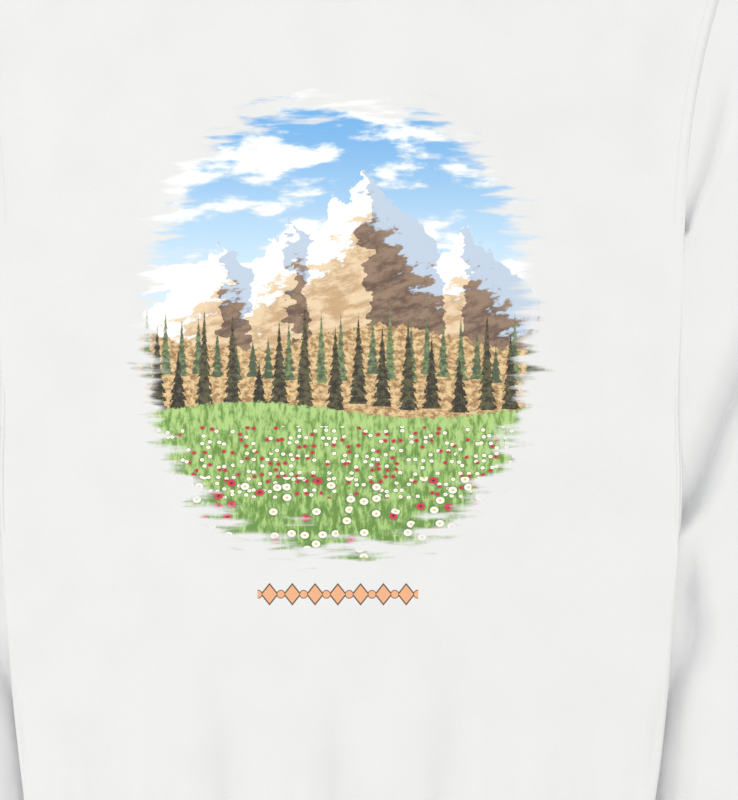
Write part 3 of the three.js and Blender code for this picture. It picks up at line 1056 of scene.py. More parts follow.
@dataclass
class BodyPanel:
    """The front or the back of the body.

    Attributes:
        face: Which of the two it is.
        spacing: Distance between the grid's lines, in millimetres.
        folds: The folds that the cloth lies in.
        uneven: Slight unevenness of the cloth.
        finishes: Materials of its outside and its inside.
        cut: Width, length and area of its cut cloth, in metres. Not used.
        shoulder_columns: Share of each half's columns that end at the shoulder seam.
        rise: Length of the cloth above the level of the armpits.
        pleats: How far the pleats over the hem reach, and the distance over which they start.
        ditch: Depth of the ditch at the hem and the neckline.
        side_groove: Depth and half width of the groove along the side seam.
    """

    face: Face
    spacing: float
    folds: Sequence[Fold]
    uneven: Undulation
    finishes: Sequence[bpy.types.Material]
    cut: tuple[float, float, float]
    shoulder_columns: float = 0.6
    rise: float = 250.0
    pleats: tuple[float, float] = (26.0, 5.0)
    ditch: float = 0.5
    side_groove: tuple[float, float] = (0.1, 1.2)

    def columns(self) -> tuple[Array, Array]:
        """Places of the columns at the hem and at the top edge, as shares of the half width from -1 to 1.

        Along the hem the columns are even on the cloth, with the rounded side as a quarter round, and
        towards the top they gather so that the neckline's columns are even in angle.

        Returns:
            The places at the hem and those at the top edge.
        """
        over = self.face is Face.FRONT
        roll = LAY.side_roll[2 if over else 1]
        turn = roll * SIDE_BEND[self.face]
        cloth = graded(LAY.chest_half - roll + turn, self.spacing, (True, False))
        round_edge = roll * (1 - np.cos(math.pi / 2 * np.clip(cloth / turn, 0, 1)))
        inwards = round_edge + np.maximum(cloth - turn, 0)
        low = inwards / inwards[-1] - 1.0
        beside = round(len(low) * self.shoulder_columns)
        neck = LAY.neck[0] / LAY.shoulder[0]
        at_shoulder = lerp(-1.0, -neck, np.linspace(0, 1, beside, endpoint=False) ** 0.9)
        at_neck = -neck * np.cos(math.pi / 2 * np.linspace(0, 1, len(low) - beside))
        halves = low, np.concatenate([at_shoulder, at_neck])
        return tuple(np.concatenate([half, -half[-2::-1]]) for half in halves)

    def plan(self) -> tuple[Array, Array]:
        """The grid's x and y in plan: columns from side to side, and rows from the hem to the top edge."""
        low, top = self.columns()
        below = graded(-LAY.hem_seam, self.spacing, (True, False)) + LAY.hem_seam
        above = graded(self.rise, self.spacing, (False, True))[1:] / self.rise
        share = np.concatenate([np.zeros(len(below)), above])
        side = lerp(low[:, None], top[:, None], smoothstep(share, 0.0, 1.0)[None])
        edge = LAY.neckline(top * LAY.shoulder[0], NECK_DROP[self.face])
        level = np.concatenate([below, 0 * above])
        y = np.where(share[None] > 0, edge[:, None] * share[None], level[None])
        return side * LAY.half(y), y

    def surface(self) -> Surface:
        """The panel's outside, with its folds, its uneven cloth and its seams."""
        x, y = self.plan()
        outward = 1.0 if self.face is Face.FRONT else -1.0
        surface = Surface(np.stack([x, y, LAY.height(self.face, x, y)], axis=-1), outward=outward)
        edges = {edge: surface.from_edge(edge) for edge in Edge}
        hem, neckline = edges[Edge.FIRST_ROW], edges[Edge.LAST_ROW]
        side = np.minimum(edges[Edge.FIRST_COLUMN], edges[Edge.LAST_COLUMN])
        relief = sum(fold.relief(x, y) for fold in self.folds) + self.uneven.relief(x, y)
        relief = relief * smoothstep(np.minimum.reduce([hem, neckline, side]), 0.0, CALM_EDGE)
        under_arm = y < -1.0
        armhole = np.where(under_arm, np.inf, side)
        stitched = np.minimum.reduce([neckline, armhole, hem])
        ditch = np.where(stitched < armhole, self.ditch, 0.0)
        depth, half_width = self.side_groove
        groove = depth * np.exp(-((side / half_width) ** 2)) * under_arm
        gathers = pleated(self.wave(x), hem, *self.pleats)
        return surface.raised(relief + gathers + seam_relief(stitched, ditch) - groove)

    def wave(self, x: Array) -> Array:
        """The pleats across the hem, two sines with a wandering phase: sin(x / a + b sin(x / c + d))."""
        waves = ((0.6, 2.6, 2.0, 31.0, 0.0), (0.5, 3.9, 1.4, 23.0, 2.0))
        return sum(high * np.sin(x / a + b * np.sin(x / c + d)) for high, a, b, c, d in waves)

    def build(self) -> Surface:
        """Builds the panel and gives back its outside, for the seams on it."""
        surface = self.surface()
        flat = surface.flat()
        middle = flat.shape[0] // 2
        armpit = int(np.argmin(np.abs(surface.points[middle, :, 1])))
        flat[..., 0] -= flat[middle : middle + 1, :, 0]
        flat[..., 1] -= flat[:, armpit : armpit + 1, 1]
        name = f"body_{self.face.value}"
        piece = surface.piece(f"{name}_cloth", self.finishes, flat)
        thicken(piece, FLEECE_THICKNESS)
        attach(piece, "root")
        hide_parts(name)
        return surface


@dataclass
class Sleeve:
    """A long set-in sleeve, laid down beside the body.

    Attributes:
        hand: The side that it is on.
        finishes: Materials of its outside and its inside.
        seed: Seed of its uneven cloth and phase of its pleats.
        edges: Pairs of its inner and outer edge in plan, from the armhole to the cuff.
        length: Its length, in millimetres.
        loft: Its height by the share of its length.
        inner_fold: Height of its inner fold.
        outer_fold: Height of its outer fold.
        inner_roll: The rounded inner edge: reach over and under its fold, the tight round's, and its share.
        outer_roll: The same of the outer edge.
        tucked_roll: The same of the inner edge where it is pressed against the body.
        tucked: Shares of the length between which it becomes, stays and ceases to be pressed.
        parted_roll: The same as the rolls above where it has parted from the body.
        parted: Shares of the length between which it parts, stays away and joins the cuff.
        armhole_share: Share of the length over which the armhole's shape dies out.
        uneven: Height and wavelengths of its uneven cloth.
        pleats: How far the pleats over the cuff reach, and the distance over which they start.
        ditch: Depth to which its end dips into the cuff.
        above: Number of columns on top.
        below: Number of columns underneath.
        spacing: Distance between rows.
        pinch: Distance from the inner edge's ends within which the wall is thin.
    """

    hand: Hand
    finishes: Sequence[bpy.types.Material]
    seed: int
    edges: Pairs = (
        (258, 0, 292, 198), (257.4, -6, 338, 177), (256.6, -13, 376, 138), (255.9, -25, 407, 82),
        (255, -42, 427, 15), (253.9, -70, 434, -55), (252.6, -130, 425, -130), (252.9, -210, 408, -215),
        (246.5, -300, 386, -305), (237, -395, 362, -395), (234, -423, 353, -424), (239, -440, 346, -440),
    )
    length: float = 560.0
    loft: Pairs = ((0, 46), (0.3, 48), (0.6, 43), (0.85, 38), (1, 31))
    inner_fold: Pairs = (
        (0, 45), (0.18, 46.6), (0.36, 47.4), (0.56, 47), (0.64, 45), (0.7, 42), (0.735, 38), (0.77, 26),
        (0.8, 16), (0.86, 10.5), (0.95, 11), (1, 14),
    )
    outer_fold: Pairs = ((0, 20), (0.3, 21), (1, 14))
    inner_roll: Sequence[float] = (36.0, 25.0, 36.0, 0.1)
    outer_roll: Sequence[float] = (42.0, 38.0, 42.0, 1.0)
    tucked_roll: Sequence[float] = (36.0, 25.0, 2.0, 0.1)
    tucked: Sequence[float] = (0.16, 0.27, 0.72, 0.79)
    parted_roll: Sequence[float] = (54.0, 25.0, 54.0, 0.1)
    parted: Sequence[float] = (0.73, 0.79, 0.9, 0.985)
    armhole_share: float = 0.22
    uneven: tuple[float, float, float] = (0.5, 24.0, 90.0)
    pleats: tuple[float, float] = (16.0, 6.0)
    ditch: float = 2.4
    above: int = 140
    below: int = 48
    spacing: float = 2.5
    pinch: float = 6.0

    def deep_folds(self) -> Sequence[Fold]:
        """The deep creases at the armpit and at the bend of the elbow, and the hollow beside the body."""
        armpit = (
            (258, 2), (261.5, 12.5), (266.5, 24), (275, 43), (281, 61.5), (287.5, 84), (291, 100), (298, 130),
        )
        elbow = (
            (254, -212), (264, -203), (271, -191), (278.5, -173), (284.5, -157), (290.5, -141), (298, -124),
            (306, -102), (318, -62), (331, -20),
        )
        hollow = (
            (271, -222), (267, -240), (265, -262), (266, -280), (268, -298), (263, -316), (253, -332),
            (247, -350), (242, -378), (239, -402),
        )
        return (
            Crease(armpit, 7.7, 5.5, 4.2, fade_out=0.62, widen=1.0),
            Crease(elbow, 22.5, 18.0, 12.0, fade_out=0.48),
            Crease(hollow, 19.0, 9.5, 14.0, 0.3, 0.42, widen=1.1),
        )

    def soft_folds(self) -> Sequence[Fold]:
        """The soft folds that the sleeve's cloth lies in."""
        return (
            Fold(((300, -250), (318, -228), (340, -215), (372, -210)), 3.0, 10.0, 7.0, 0.3, 0.5),
            Fold(((398, -190), (372, -214), (345, -232), (322, -262)), 8.0, 9.0, 13.0, 0.1, 0.4, 1.4),
            Fold(((406, -120), (384, -142), (356, -160), (330, -190)), 7.0, 12.0, 9.0, 0.1, 0.4, 1.5),
            Fold(((424, -48), (404, -76), (380, -92), (352, -98)), 6.5, 11.0, 9.0, 0.1, 0.4, 1.5),
            Fold(((352, 162), (342, 124), (334, 84), (332, 36)), 4.5, 15.0, 12.0, 0.25, 0.5),
            Fold(((398, 66), (378, 32), (368, -6), (366, -50)), 5.5, 15.0, 12.0, 0.2, 0.5, 1.7),
            Fold(((376, -326), (354, -318), (330, -324), (308, -338)), 6.0, 10.0, 8.0, 0.15, 0.5, 1.5),
            Fold(((300, -378), (314, -370), (332, -374), (350, -388)), 4.5, 8.0, 9.0, 0.3, 0.5, 1.5),
            Fold(((368, -300), (372, -260), (382, -226)), -3.0, 10.0, 10.0, 0.3, 0.5),
        )

    def grid(self) -> tuple[Array, Array]:
        """Places round and along the sleeve, both from 0 to 1, with columns gathered at the inner edge."""
        over = np.linspace(0, 1, self.above + 1) ** 1.25 / 2
        around = np.concatenate([over, np.linspace(0.5, 1, self.below + 1)[1:]])
        rows = graded(self.length, self.spacing, (True, True)) / self.length
        return np.meshgrid(around, rows, indexing="ij")

    def filling(self, v: Array, own: Array, inwards: tuple[Array, Array], top: Array) -> Array:
        """How far the cloth is filled up between its folded edges.

        Args:
            v: Place along the sleeve.
            own: How far its section is its own and no more the armhole's.
            inwards: Distance in plan from the inner and from the outer edge.
            top: Where the place is on top.

        Returns:
            The share of the full height, 0 at both edges.
        """
        ends = (LAY.side_roll, self.inner_roll), (LAY.shoulder_roll, self.outer_roll)
        inner, outer = ([lerp(first, last, own) for first, last in zip(*pair)] for pair in ends)
        fill = filled(inwards[0], inner, top)
        for roll, span in ((self.tucked_roll, self.tucked), (self.parted_roll, self.parted)):
            fill = lerp(fill, filled(inwards[0], roll, top), plateau(v, span))
        return fill * filled(inwards[1], outer, top)

    def surface(self) -> Surface:
        """The sleeve's outside: a flat tube whose section changes from the armhole's to its own.

        On top its height is the fold's plus a share of the way to the loft, less the creases. Underneath
        the fold's height falls to the floor, and near the inner edge it sinks with the creases.

        Returns:
            The surface, on the wearer's left.
        """
        u, v = self.grid()
        own = smoothstep(v, 0.0, self.armhole_share)
        bow = (LAY.shoulder[0] - LAY.chest_half) * (1.0 - own)
        points, share, width, top = flat_tube(spline(self.edges, v), u, bow)
        x, y = points[..., 0], points[..., 1]
        across = smoothstep(share, 0.06, 1.0)
        own_fold = lerp(size_at(self.inner_fold, v), size_at(self.outer_fold, v), across)
        fold = lerp(size_at(LAY.seam_height, y), own_fold, own)
        loft = lerp(size_at(LAY.side_loft, y), size_at(self.loft, v), own)
        fill = self.filling(v, own, (share * width, (1.0 - share) * width), top)
        deep = sum(item.relief(x, y) for item in self.deep_folds()) * smoothstep(v, 0.0, 0.05)
        sunk = fold + deep[:1] * (1.0 - share) ** 2
        z = np.where(top, lerp(fold, loft, fill) + deep, sunk * (1.0 - fill))
        surface = Surface(np.stack([x + SEAM_GAP / 2, y, z], axis=-1), ring=True, outward=-1.0)
        start, end = surface.from_edge(Edge.FIRST_ROW), surface.from_edge(Edge.LAST_ROW)
        soft = sum(item.relief(x, y) for item in self.soft_folds()) * smoothstep(fill, 0.2, 0.9)
        # The underside takes its unevenness from far away, so that it differs from the top's.
        beneath = np.where(top, 0.0, 400.0)
        relief = np.where(top, soft, 0.0) + Undulation(*self.uneven, self.seed).relief(x, y + beneath)
        calm = smoothstep(np.minimum(start, end), 0.0, CALM_EDGE) * smoothstep(share * width, 0.0, 12.0)
        gathers = pleated(self.wave(u), end, *self.pleats)
        return surface.raised(relief * calm + seam_relief(end, self.ditch) + gathers)

    def wave(self, u: Array) -> Array:
        """The pleats round the cuff's seam: sines of 11, 17 and 23 pleats."""
        waves = ((1.0, 11, self.seed), (0.8, 17, 2.0), (0.6, 23, 0.7))
        return sum(high * np.sin(count * math.tau * u + phase) for high, count, phase in waves)

    def build(self) -> Surface:
        """Builds the sleeve on its side and gives back its outside, for the seams on it."""
        surface = self.surface()
        surface.points[..., 0] *= self.hand.value
        surface.outward *= self.hand.value
        name = f"sleeve_{self.hand.name.lower()}"
        flat = surface.flat()
        flat[..., 1] = flat[..., 1].mean(axis=0)
        piece = surface.piece(f"{name}_cloth", self.finishes, flat)
        ends = [surface.points[:-1] - surface.points[:1, [row]] for row in (0, -1)]
        nearest = np.min(np.linalg.norm(ends, axis=-1), axis=0)
        thicken(piece, FLEECE_THICKNESS, pinched=np.flatnonzero(nearest < self.pinch))
        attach(piece, "root")
        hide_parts(name)
        return surface


@dataclass
class RibBand:
    """A ring of doubled rib knit, folded at its free edge.

    Attributes:
        finishes: Its material.
        name: The part of the garment that it is.
        length: Its length from the seam to the free edge, in millimetres.
        cut: Width and length of its cut cloth, in metres. Not used.
        outward: 1 where round crossed with along points out of the band, otherwise -1.
        row: Distance between rows of the grid.
        rib: Width of one rib.
        per_rib: Number of columns in one rib.
        rib_height: How far the ribs stand out of the furrows.
        furrow: Share of that height that lies under the plain surface.
        roundness: Power of the ribs' section, less for rounder ribs with narrower furrows.
        fold_steps: Number of steps in the fold at the free edge, whose ends are on its two sides.
        seam_row: Distance of the first row after the seam from it.
        seam_reach: Distance from the seam over which the ribs rise from half their height to the whole.
    """

    finishes: Sequence[bpy.types.Material]
    name: str
    length: float
    cut: tuple[float, float]
    outward: float = -1.0
    row: float = 3.0
    rib: float = 3.1
    per_rib: int = 6
    rib_height: float = 0.9
    furrow: float = 0.6
    roundness: float = 0.8
    fold_steps: int = 7
    seam_row: float = 0.3
    seam_reach: float = 3.0

    def outside(self, u: Array, v: Array) -> Array:
        """The points of its outside at places round it and along it, both from 0, along it from the seam."""
        raise NotImplementedError

    def around(self) -> tuple[Array, Array]:
        """Places round the band at even lengths, a whole number of ribs, and the ribs before each."""
        dense = np.linspace(0.0, 1.0, 6001)
        length = travelled(self.outside(dense, np.full_like(dense, 0.5)))
        ribs = round(length[-1] / self.rib)
        even = np.linspace(0.0, length[-1], ribs * self.per_rib + 1)
        return np.interp(even, length, dense), np.linspace(0.0, ribs, len(even))

    def surface(self) -> Surface:
        """The whole skin of the band: its outside, the round fold at the free edge and its inside.

        Across each rib the outside is |cos(turn)| ^ roundness, and the fold is a half circle.

        Returns:
            The closed surface.
        """
        around, ribs = self.around()
        half = RIB_THICKNESS / 2
        rows = np.linspace(0.0, 1.0 - half / self.length, max(round(self.length / self.row), 4) + 1)
        rows = np.insert(rows, 1, self.seam_row / self.length)
        u, v = np.meshgrid(around, rows, indexing="ij")
        smooth = Surface(self.outside(u, v), ring=True, outward=self.outward)
        normals = smooth.normals()
        section = np.abs(np.cos(math.pi * ribs)) ** self.roundness
        height = self.rib_height * (section - self.furrow)[:, None]
        rise = lerp(0.5, 1.0, smoothstep(v * self.length, 0.0, self.seam_reach))
        outside = smooth.points + normals * (height * rise)[..., None]
        along = smooth.points[:, -1] - smooth.points[:, -2]
        along /= np.linalg.norm(along, axis=-1, keepdims=True)
        middle = outside[:, -1] - half * normals[:, -1]
        turns = np.linspace(0.0, math.pi, self.fold_steps)[1:-1]
        fold = [middle + half * (math.cos(turn) * normals[:, -1] + math.sin(turn) * along) for turn in turns]
        inside = (outside - RIB_THICKNESS * normals)[:, ::-1]
        skin = np.concatenate([outside, np.stack(fold, axis=1), inside, outside[:, :1]], axis=1)
        skin[..., 2] = np.maximum(skin[..., 2], 0.0)
        return Surface(skin, ring=True, loop=True, outward=self.outward)

    def build(self) -> None:
        """Builds the band."""
        surface = self.surface()
        flat = surface.flat()
        flat[..., 0] = self.around()[1][:, None] * self.rib
        flat[..., 1] = flat[..., 1].mean(axis=0)
        piece = surface.piece(f"{self.name}_rib", self.finishes, flat)
        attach(piece, "root")
        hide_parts(self.name)


@dataclass
class HemBand(RibBand):
    """The band across the whole width under the hem, a flat tube that carries on the body's section.

    Attributes:
        half_width: Its half width, by level.
    """

    name: str = "hem_band"
    length: float = 64.7
    cut: tuple[float, float] = (0.96, 0.065)
    half_width: Pairs = ((-505, 229), (-470, 232), (-440, 236))

    def outside(self, u: Array, v: Array) -> Array:
        """The points of its outside, with the body's heights and rolls."""
        level = lerp(LAY.hem_seam - SEAM_GAP, HEM_END, v)
        half = size_at(self.half_width, level)
        points, share, width, top = flat_tube(np.stack([-half, level, half, level], axis=-1), u)
        x, y = points[..., 0], points[..., 1]
        fill = filled(share * width, LAY.side_roll, top) * filled((1.0 - share) * width, LAY.side_roll, top)
        fold = size_at(LAY.seam_height, y)
        z = np.where(top, lerp(fold, LAY.top(x, y), fill), fold * (1.0 - fill))
        return np.stack([x, y, z], axis=-1)


@dataclass
class Cuff(RibBand):
    """A cuff, a flat tube with round edges that starts tucked into the sleeve's end.

    Attributes:
        side: 1 on the wearer's left and -1 on the right.
        corners: Pairs of its inner and outer edge in plan, from the seam to the free edge.
        middle: Its middle line at the seam: how far out and how high.
        top: Height of its top.
        reach: Reach of its rounded edges on top and underneath.
        tuck: How much narrower and lower it starts, as shares, and the length over which it widens.
    """

    length: float = 58.4
    cut: tuple[float, float] = (0.21, 0.056)
    side: float = 1.0
    corners: Pairs = ((239.4, -437.6, 345.6, -437.6), (247, -467, 342, -467), (251, -496, 341, -496))
    middle: tuple[float, float] = (292.5, 14.0)
    top: float = 29.4
    reach: tuple[float, float] = (26.0, 22.0)
    tuck: tuple[float, float, float] = (0.06, 0.22, 3.2)

    def outside(self, u: Array, v: Array) -> Array:
        """The points of its outside."""
        points, share, width, over = flat_tube(spline(self.corners, v), u)
        reach = np.where(over, *self.reach)
        fill = rounded(share * width, reach) * rounded((1.0 - share) * width, reach)
        out, level = self.middle
        z = np.where(over, lerp(level, self.top, fill), level * (1.0 - fill))
        narrower, lower, length = self.tuck
        tuck = 1.0 - smoothstep(v * self.length, 0.0, length)
        x = self.side * lerp(points[..., 0], out, narrower * tuck)
        return np.stack([x, points[..., 1], lerp(z, level, lower * tuck)], axis=-1)


@dataclass
class Neckband(RibBand):
    """The band round the neck opening, which follows both necklines and leans in beside the neck.

    Attributes:
        width: Its width on the cloth.
        lean: How far it leans in beside the neck, as an angle.
    """

    name: str = "neckband"
    length: float = 23.7
    cut: tuple[float, float] = (0.50, 0.024)
    outward: float = 1.0
    row: float = 2.4
    width: float = 24.0
    lean: float = math.radians(50)

    def outside(self, u: Array, v: Array) -> Array:
        """The points of its outside: its rise from the neckline is turned by lean * sin(turn) |sin(turn)|."""
        turn = math.tau * u
        front = np.cos(turn) >= 0
        x = LAY.neck[0] * np.sin(turn)
        drop = np.where(front, NECK_DROP[Face.FRONT], NECK_DROP[Face.BACK])
        y = LAY.neck[1] - drop * np.abs(np.cos(turn))
        lean = self.lean * np.sin(turn) * np.abs(np.sin(turn))
        rise = lerp(SEAM_GAP, self.width, v)
        z = np.where(front, LAY.height(Face.FRONT, x, y), LAY.height(Face.BACK, x, y))
        return np.stack([x - rise * np.sin(lean), y + rise * np.cos(lean), z], axis=-1)


@dataclass
class NeckTape:
    """The woven tape over the back neck seam, inside.

    Attributes:
        finishes: Its material.
        half_length: Half its length across, in millimetres.
        edges: Levels of its two edges beside the neckline.
        thickness: Its thickness.
        clearance: How far it lies off the cloth.
    """

    finishes: Sequence[bpy.types.Material]
    half_length: float = 84.0
    edges: tuple[float, float] = (-6.82, 4.18)
    thickness: float = 0.8
    clearance: float = 0.35

    def build(self) -> None:
        """Builds the tape: it follows the back neckline and steps from the panel up to the neckband."""
        columns = np.linspace(-self.half_length, self.half_length, 90)
        x, across = np.meshgrid(columns, np.linspace(*self.edges, 9), indexing="ij")
        y = LAY.neckline(x, NECK_DROP[Face.BACK]) + across
        step = lerp(FLEECE_THICKNESS, RIB_THICKNESS + 0.5, smoothstep(across, -3.0, 1.5))
        z = LAY.height(Face.BACK, x, y) + step + self.thickness + self.clearance
        surface = Surface(np.stack([x, y, z], axis=-1))
        piece = surface.piece("neck_tape", self.finishes, surface.flat())
        thicken(piece, self.thickness, 0)
        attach(piece, "root")


@dataclass(frozen=True)
class TwinNeedle:
    """Two rows of stitches beside a seam. Each stitch is a short thread of a few rings.

    Attributes:
        finish: Material of the thread.
        pitch: From one stitch to the next, in millimetres.
        length: Length of a stitch on the face of the cloth.
        radius: Radius of the thread.
        sides: Number of sides of a ring.
        rings: Places of the rings along a stitch, as shares of its length from its middle.
        taper: Radius of each ring, as a share of the thread's.
        lift: How high a stitch's middle lies, and its drop by the square of the place, in radii.
    """

    finish: bpy.types.Material
    pitch: float = 3.1
    length: float = 2.5
    radius: float = 0.22
    sides: int = 5
    rings: Sequence[float] = (-0.5, -0.24, 0.24, 0.5)
    taper: Sequence[float] = (0.45, 1.0, 1.0, 0.45)
    lift: tuple[float, float] = (0.55, 4.4)

    def points(self, middle: Array, along: Array, normal: Array) -> Array:
        """The points of every stitch, ring by ring.

        Args:
            middle: Middle of each stitch.
            along: Its direction.
            normal: The cloth's normal there.

        Returns:
            Stitches by rings by sides by 3, in millimetres.
        """
        middle, along, normal = (values[:, None, None] for values in (middle, along, normal))
        share, thick = (np.array(values)[None, :, None, None] for values in (self.rings, self.taper))
        turn = (np.arange(self.sides) * math.tau / self.sides)[None, None, :, None]
        lift = self.radius * (self.lift[0] - self.lift[1] * share**2)
        out = lift + self.radius * thick * np.sin(turn)
        beside = self.radius * thick * np.cos(turn)
        points = middle + share * self.length * along + out * normal + beside * np.cross(along, normal)
        points[..., 2] = np.maximum(points[..., 2], 0.0)
        return points

    def faces(self, count: int) -> list[list[int]]:
        """The faces of some stitches: the sides between their rings, and both ends."""
        ring, last = np.arange(self.sides), len(self.rings) - 1
        after = (ring + 1) % self.sides
        first = self.sides * np.arange(last)[:, None]
        second = first + self.sides
        quads = np.stack([first + ring, second + ring, second + after, first + after], axis=-1)
        start = (np.arange(count) * self.sides * len(self.rings))[:, None]
        walls = (start[:, :, None] + quads.reshape(1, -1, 4)).reshape(-1, 4)
        ends = np.concatenate([start + ring, start + self.sides * last + ring[::-1]])
        return walls.tolist() + ends.tolist()

    def build(self, name: str, seams: Sequence[tuple[Surface, Edge, slice]]) -> None:
        """Builds the stitches of some seams as one piece.

        Args:
            name: Name of the piece.
            seams: Cloth, edge and stretch of each seam.
        """
        frames = []
        for surface, edge, part in seams:
            frames += [surface.line_beside(edge, row, part).frames(self.pitch) for row in STITCH_ROWS]
        middle, along, normal = (np.concatenate(parts) for parts in zip(*frames))
        mesh = bpy.data.meshes.new(name)
        spots = in_scene(self.points(middle, along, normal))
        mesh.from_pydata(spots.tolist(), [], self.faces(len(middle)))
        mesh.polygons.foreach_set("use_smooth", np.ones(len(mesh.polygons), dtype=bool))
        corner = np.empty(len(mesh.loops), dtype=np.int32)
        mesh.loops.foreach_get("vertex_index", corner)
        around = corner % self.sides * math.tau * self.radius / self.sides
        onwards = corner // self.sides % len(self.rings) * self.length / (len(self.rings) - 1)
        add_cut_map(mesh, np.stack([around, onwards], axis=-1))
        piece = linked(name, mesh, [self.finish])
        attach(piece, "root")


@dataclass
class Sweatshirt:
    """The whole garment: two panels, two sleeves, the ribbed bands and their stitching.

    Attributes:
        margin: How far inside the neck points the neckline's stitches end, in millimetres.
    """

    margin: float = 3.0

    def build(self) -> None:
        """Builds every piece in order."""
        inside, rib, thread = BrushedInside().material(), RibKnit().material(), Thread().material()
        fleece = [Fleece().material(), inside]
        front = BodyPanel(Face.FRONT, 3.3, self.front_folds(), Undulation(0.35, 60.0, 190.0, 4),
                          [PrintedFleece().material(), inside], (0.60, 0.70, 0.352)).build()
        back = BodyPanel(Face.BACK, 4.5, (), Undulation(0.3, 60.0, 190.0, 9),
                         fleece, (0.60, 0.72, 0.368)).build()
        sleeves = [Sleeve(hand, fleece, seed).build() for hand, seed in ((Hand.LEFT, 21), (Hand.RIGHT, 34))]
        HemBand([rib]).build()
        Neckband([rib]).build()
        for hand in Hand:
            Cuff([rib], f"cuff_{hand.name.lower()}", outward=-hand.value, side=hand.value).build()
        NeckTape([thread]).build()
        self.sew(TwinNeedle(thread), front, back, sleeves)

    def sew(self, needle: TwinNeedle, front: Surface, back: Surface, sleeves: Sequence[Surface]) -> None:
        """Sews every topstitched seam.

        Args:
            needle: Makes the stitches.
            front: The front's outside.
            back: The back's outside.
            sleeves: The outside of both sleeves.
        """
        necks = [self.neck_columns(panel) for panel in (front, back)]
        shoulders = slice(3, necks[0].start), slice(necks[0].stop, -3)
        armholes = []
        for panel in (front, back):
            armpit = int(np.argmin(np.abs(panel.points[0, :, 1])))
            stretch = slice(armpit + 2, -4)
            armholes += [(panel, edge, stretch) for edge in (Edge.FIRST_COLUMN, Edge.LAST_COLUMN)]
        whole = slice(None)
        needle.build("neck_stitching", [(front, Edge.LAST_ROW, necks[0]), (back, Edge.LAST_ROW, necks[1])])
        needle.build("shoulder_stitching", [(front, Edge.LAST_ROW, shoulder) for shoulder in shoulders])
        needle.build("armhole_stitching", armholes)
        needle.build("hem_stitching", [(panel, Edge.FIRST_ROW, whole) for panel in (front, back)])
        needle.build("cuff_stitching", [(sleeve, Edge.LAST_ROW, whole) for sleeve in sleeves])

    def neck_columns(self, panel: Surface) -> slice:
        """The columns of a panel whose top edge is the neckline."""
        inside = np.nonzero(np.abs(panel.points[:, -1, 0]) < LAY.neck[0] - self.margin)[0]
        return slice(int(inside[0]), int(inside[-1]) + 1)

    def front_folds(self) -> Sequence[Fold]:
        """The soft folds of the front, which is smooth on the chest, and the tucks above its hem."""
        middle = ((3, -438), (3, -400), (0, -360), (-4, -310))
        lines = (
            (((236, 190), (228, 160), (214, 120), (196, 78), (184, 30)), -1.8, 20.0, 16.0, 0.2, 0.4, 2.0),
            (((250, 170), (240, 120), (232, 70), (238, 20)), 1.6, 14.0, 14.0, 0.3, 0.5, 2.0),
            (((82, -438), (83, -400), (87, -360), (92, -310)), 10.0, 17.0, 14.0, 0.0, 0.15, 1.7),
            (((150, -438), (156, -380), (160, -320)), -1.6, 20.0, 20.0, 0.0, 0.2, 2.0),
            (((246, -330), (241.5, -352), (237.5, -374), (235, -398), (233, -416)),
             1.8, 2.6, 3.2, 0.2, 0.7, 1.6),
        )
        folds = [Fold(path, *sizes) for path, *sizes in lines]
        for path, depth, left, right, *rest in lines:
            folds.append(Fold(tuple((-x, y) for x, y in path), depth, right, left, *rest))
        return [*folds, Fold(middle, 10.5, 15.0, 15.0, 0.0, 0.15, 1.7)]


# The studio


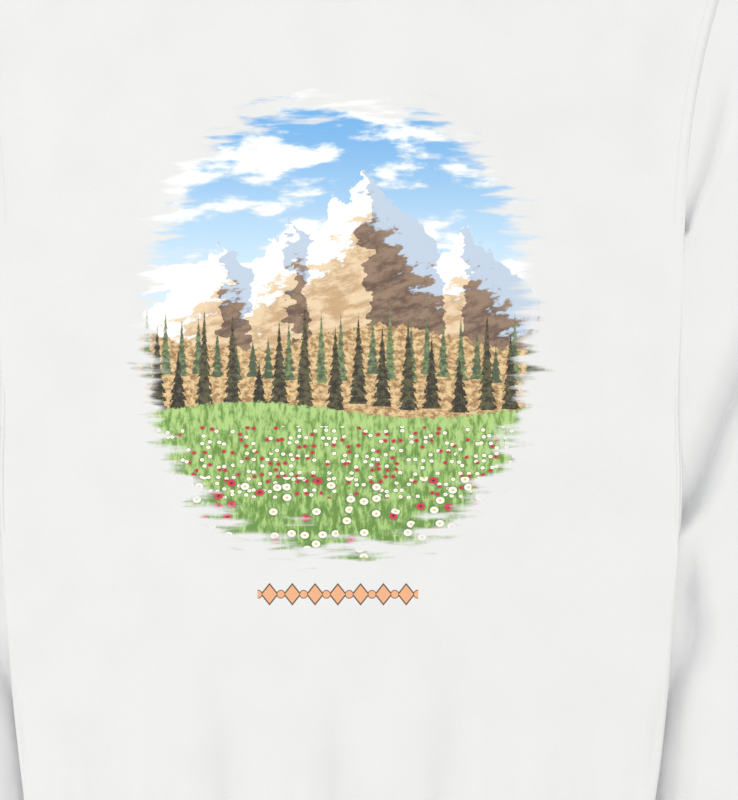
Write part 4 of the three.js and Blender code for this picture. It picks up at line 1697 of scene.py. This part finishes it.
@dataclass(frozen=True)
class Studio:
    """Camera straight above the chest, soft light from all round, and a plain pale floor.

    Attributes:
        view: Middle of the picture on the garment, in metres.
        width: Width of the picture at the height of the garment's edge.
        level: That height.
        distance: From the camera to that height.
        sensor: Width of the camera's sensor, in millimetres.
        sky: Colour of the light from all round.
        sky_strength: Its strength.
        lamp: Colour of the lamp.
        lamp_power: Its power, in watts.
        lamp_size: Its width and height.
        lamp_place: Where it stands.
        floor_half: Half width of the floor, in millimetres.
        floor_drop: How far the floor lies under the garment.
        paper: Finish of the floor.
    """

    view: tuple[float, float] = (0.02175, -0.0122)
    width: float = 0.5535
    level: float = 0.04
    distance: float = 2.4
    sensor: float = 36.0
    sky: Colour = (0.998, 0.991, 0.94)
    sky_strength: float = 1.115
    lamp: Colour = (1.0, 0.985, 0.96)
    lamp_power: float = 27.0
    lamp_size: float = 1.6
    lamp_place: tuple[float, float, float] = (-3.4, 1.9, 2.9)
    floor_half: float = 16000.0
    floor_drop: float = 0.2
    paper: Fleece = Fleece("floor_paper", (0.672, 0.676, 0.712), (0.657, 0.661, 0.697),
                           relief=0.01, fuzz=0.02, sheen=0.0, roughness=0.8)

    def camera(self) -> None:
        """The camera, with the picture's top towards the neck."""
        lens = bpy.data.cameras.new("camera")
        lens.sensor_fit = "HORIZONTAL"
        lens.sensor_width = self.sensor
        lens.lens = self.sensor * self.distance / self.width
        camera = bpy.data.objects.new("camera", lens)
        camera.location = (*self.view, self.level + self.distance)
        bpy.context.scene.collection.objects.link(camera)
        bpy.context.scene.camera = camera

    def light(self) -> None:
        """An even pale sky, and one weak lamp low on the picture's left."""
        world = bpy.data.worlds.new("sky")
        world.use_nodes = True
        background = world.node_tree.nodes["Background"]
        background.inputs["Color"].default_value = (*self.sky, 1.0)
        background.inputs["Strength"].default_value = self.sky_strength
        bpy.context.scene.world = world
        lamp = bpy.data.lights.new("softbox", "AREA")
        lamp.shape = "RECTANGLE"
        lamp.size, lamp.size_y = self.lamp_size, self.lamp_size
        lamp.energy = self.lamp_power
        lamp.color = self.lamp
        softbox = bpy.data.objects.new("softbox", lamp)
        softbox.location = self.lamp_place
        softbox.rotation_euler = Vector(softbox.location).to_track_quat("Z", "Y").to_euler()
        bpy.context.scene.collection.objects.link(softbox)
        bpy.context.scene.view_settings.view_transform = "Standard"

    def floor(self) -> None:
        """The floor, a plain pale sheet that carries on far past the picture."""
        line = np.linspace(-self.floor_half, self.floor_half, 81)
        x, y = np.meshgrid(line, line, indexing="ij")
        surface = Surface(np.stack([x, y, np.full_like(x, -self.floor_drop)], axis=-1))
        piece = surface.piece("floor", [self.paper.material()], surface.flat())

    def build(self) -> None:
        """Builds the whole studio."""
        self.camera()
        self.light()
        self.floor()


def main() -> None:
    """Builds the studio and the sweatshirt."""
    logging.basicConfig(level=logging.INFO, format="%(name)s %(message)s")
    Studio().build()
    Sweatshirt().build()


if __name__ == "__main__":
    main()
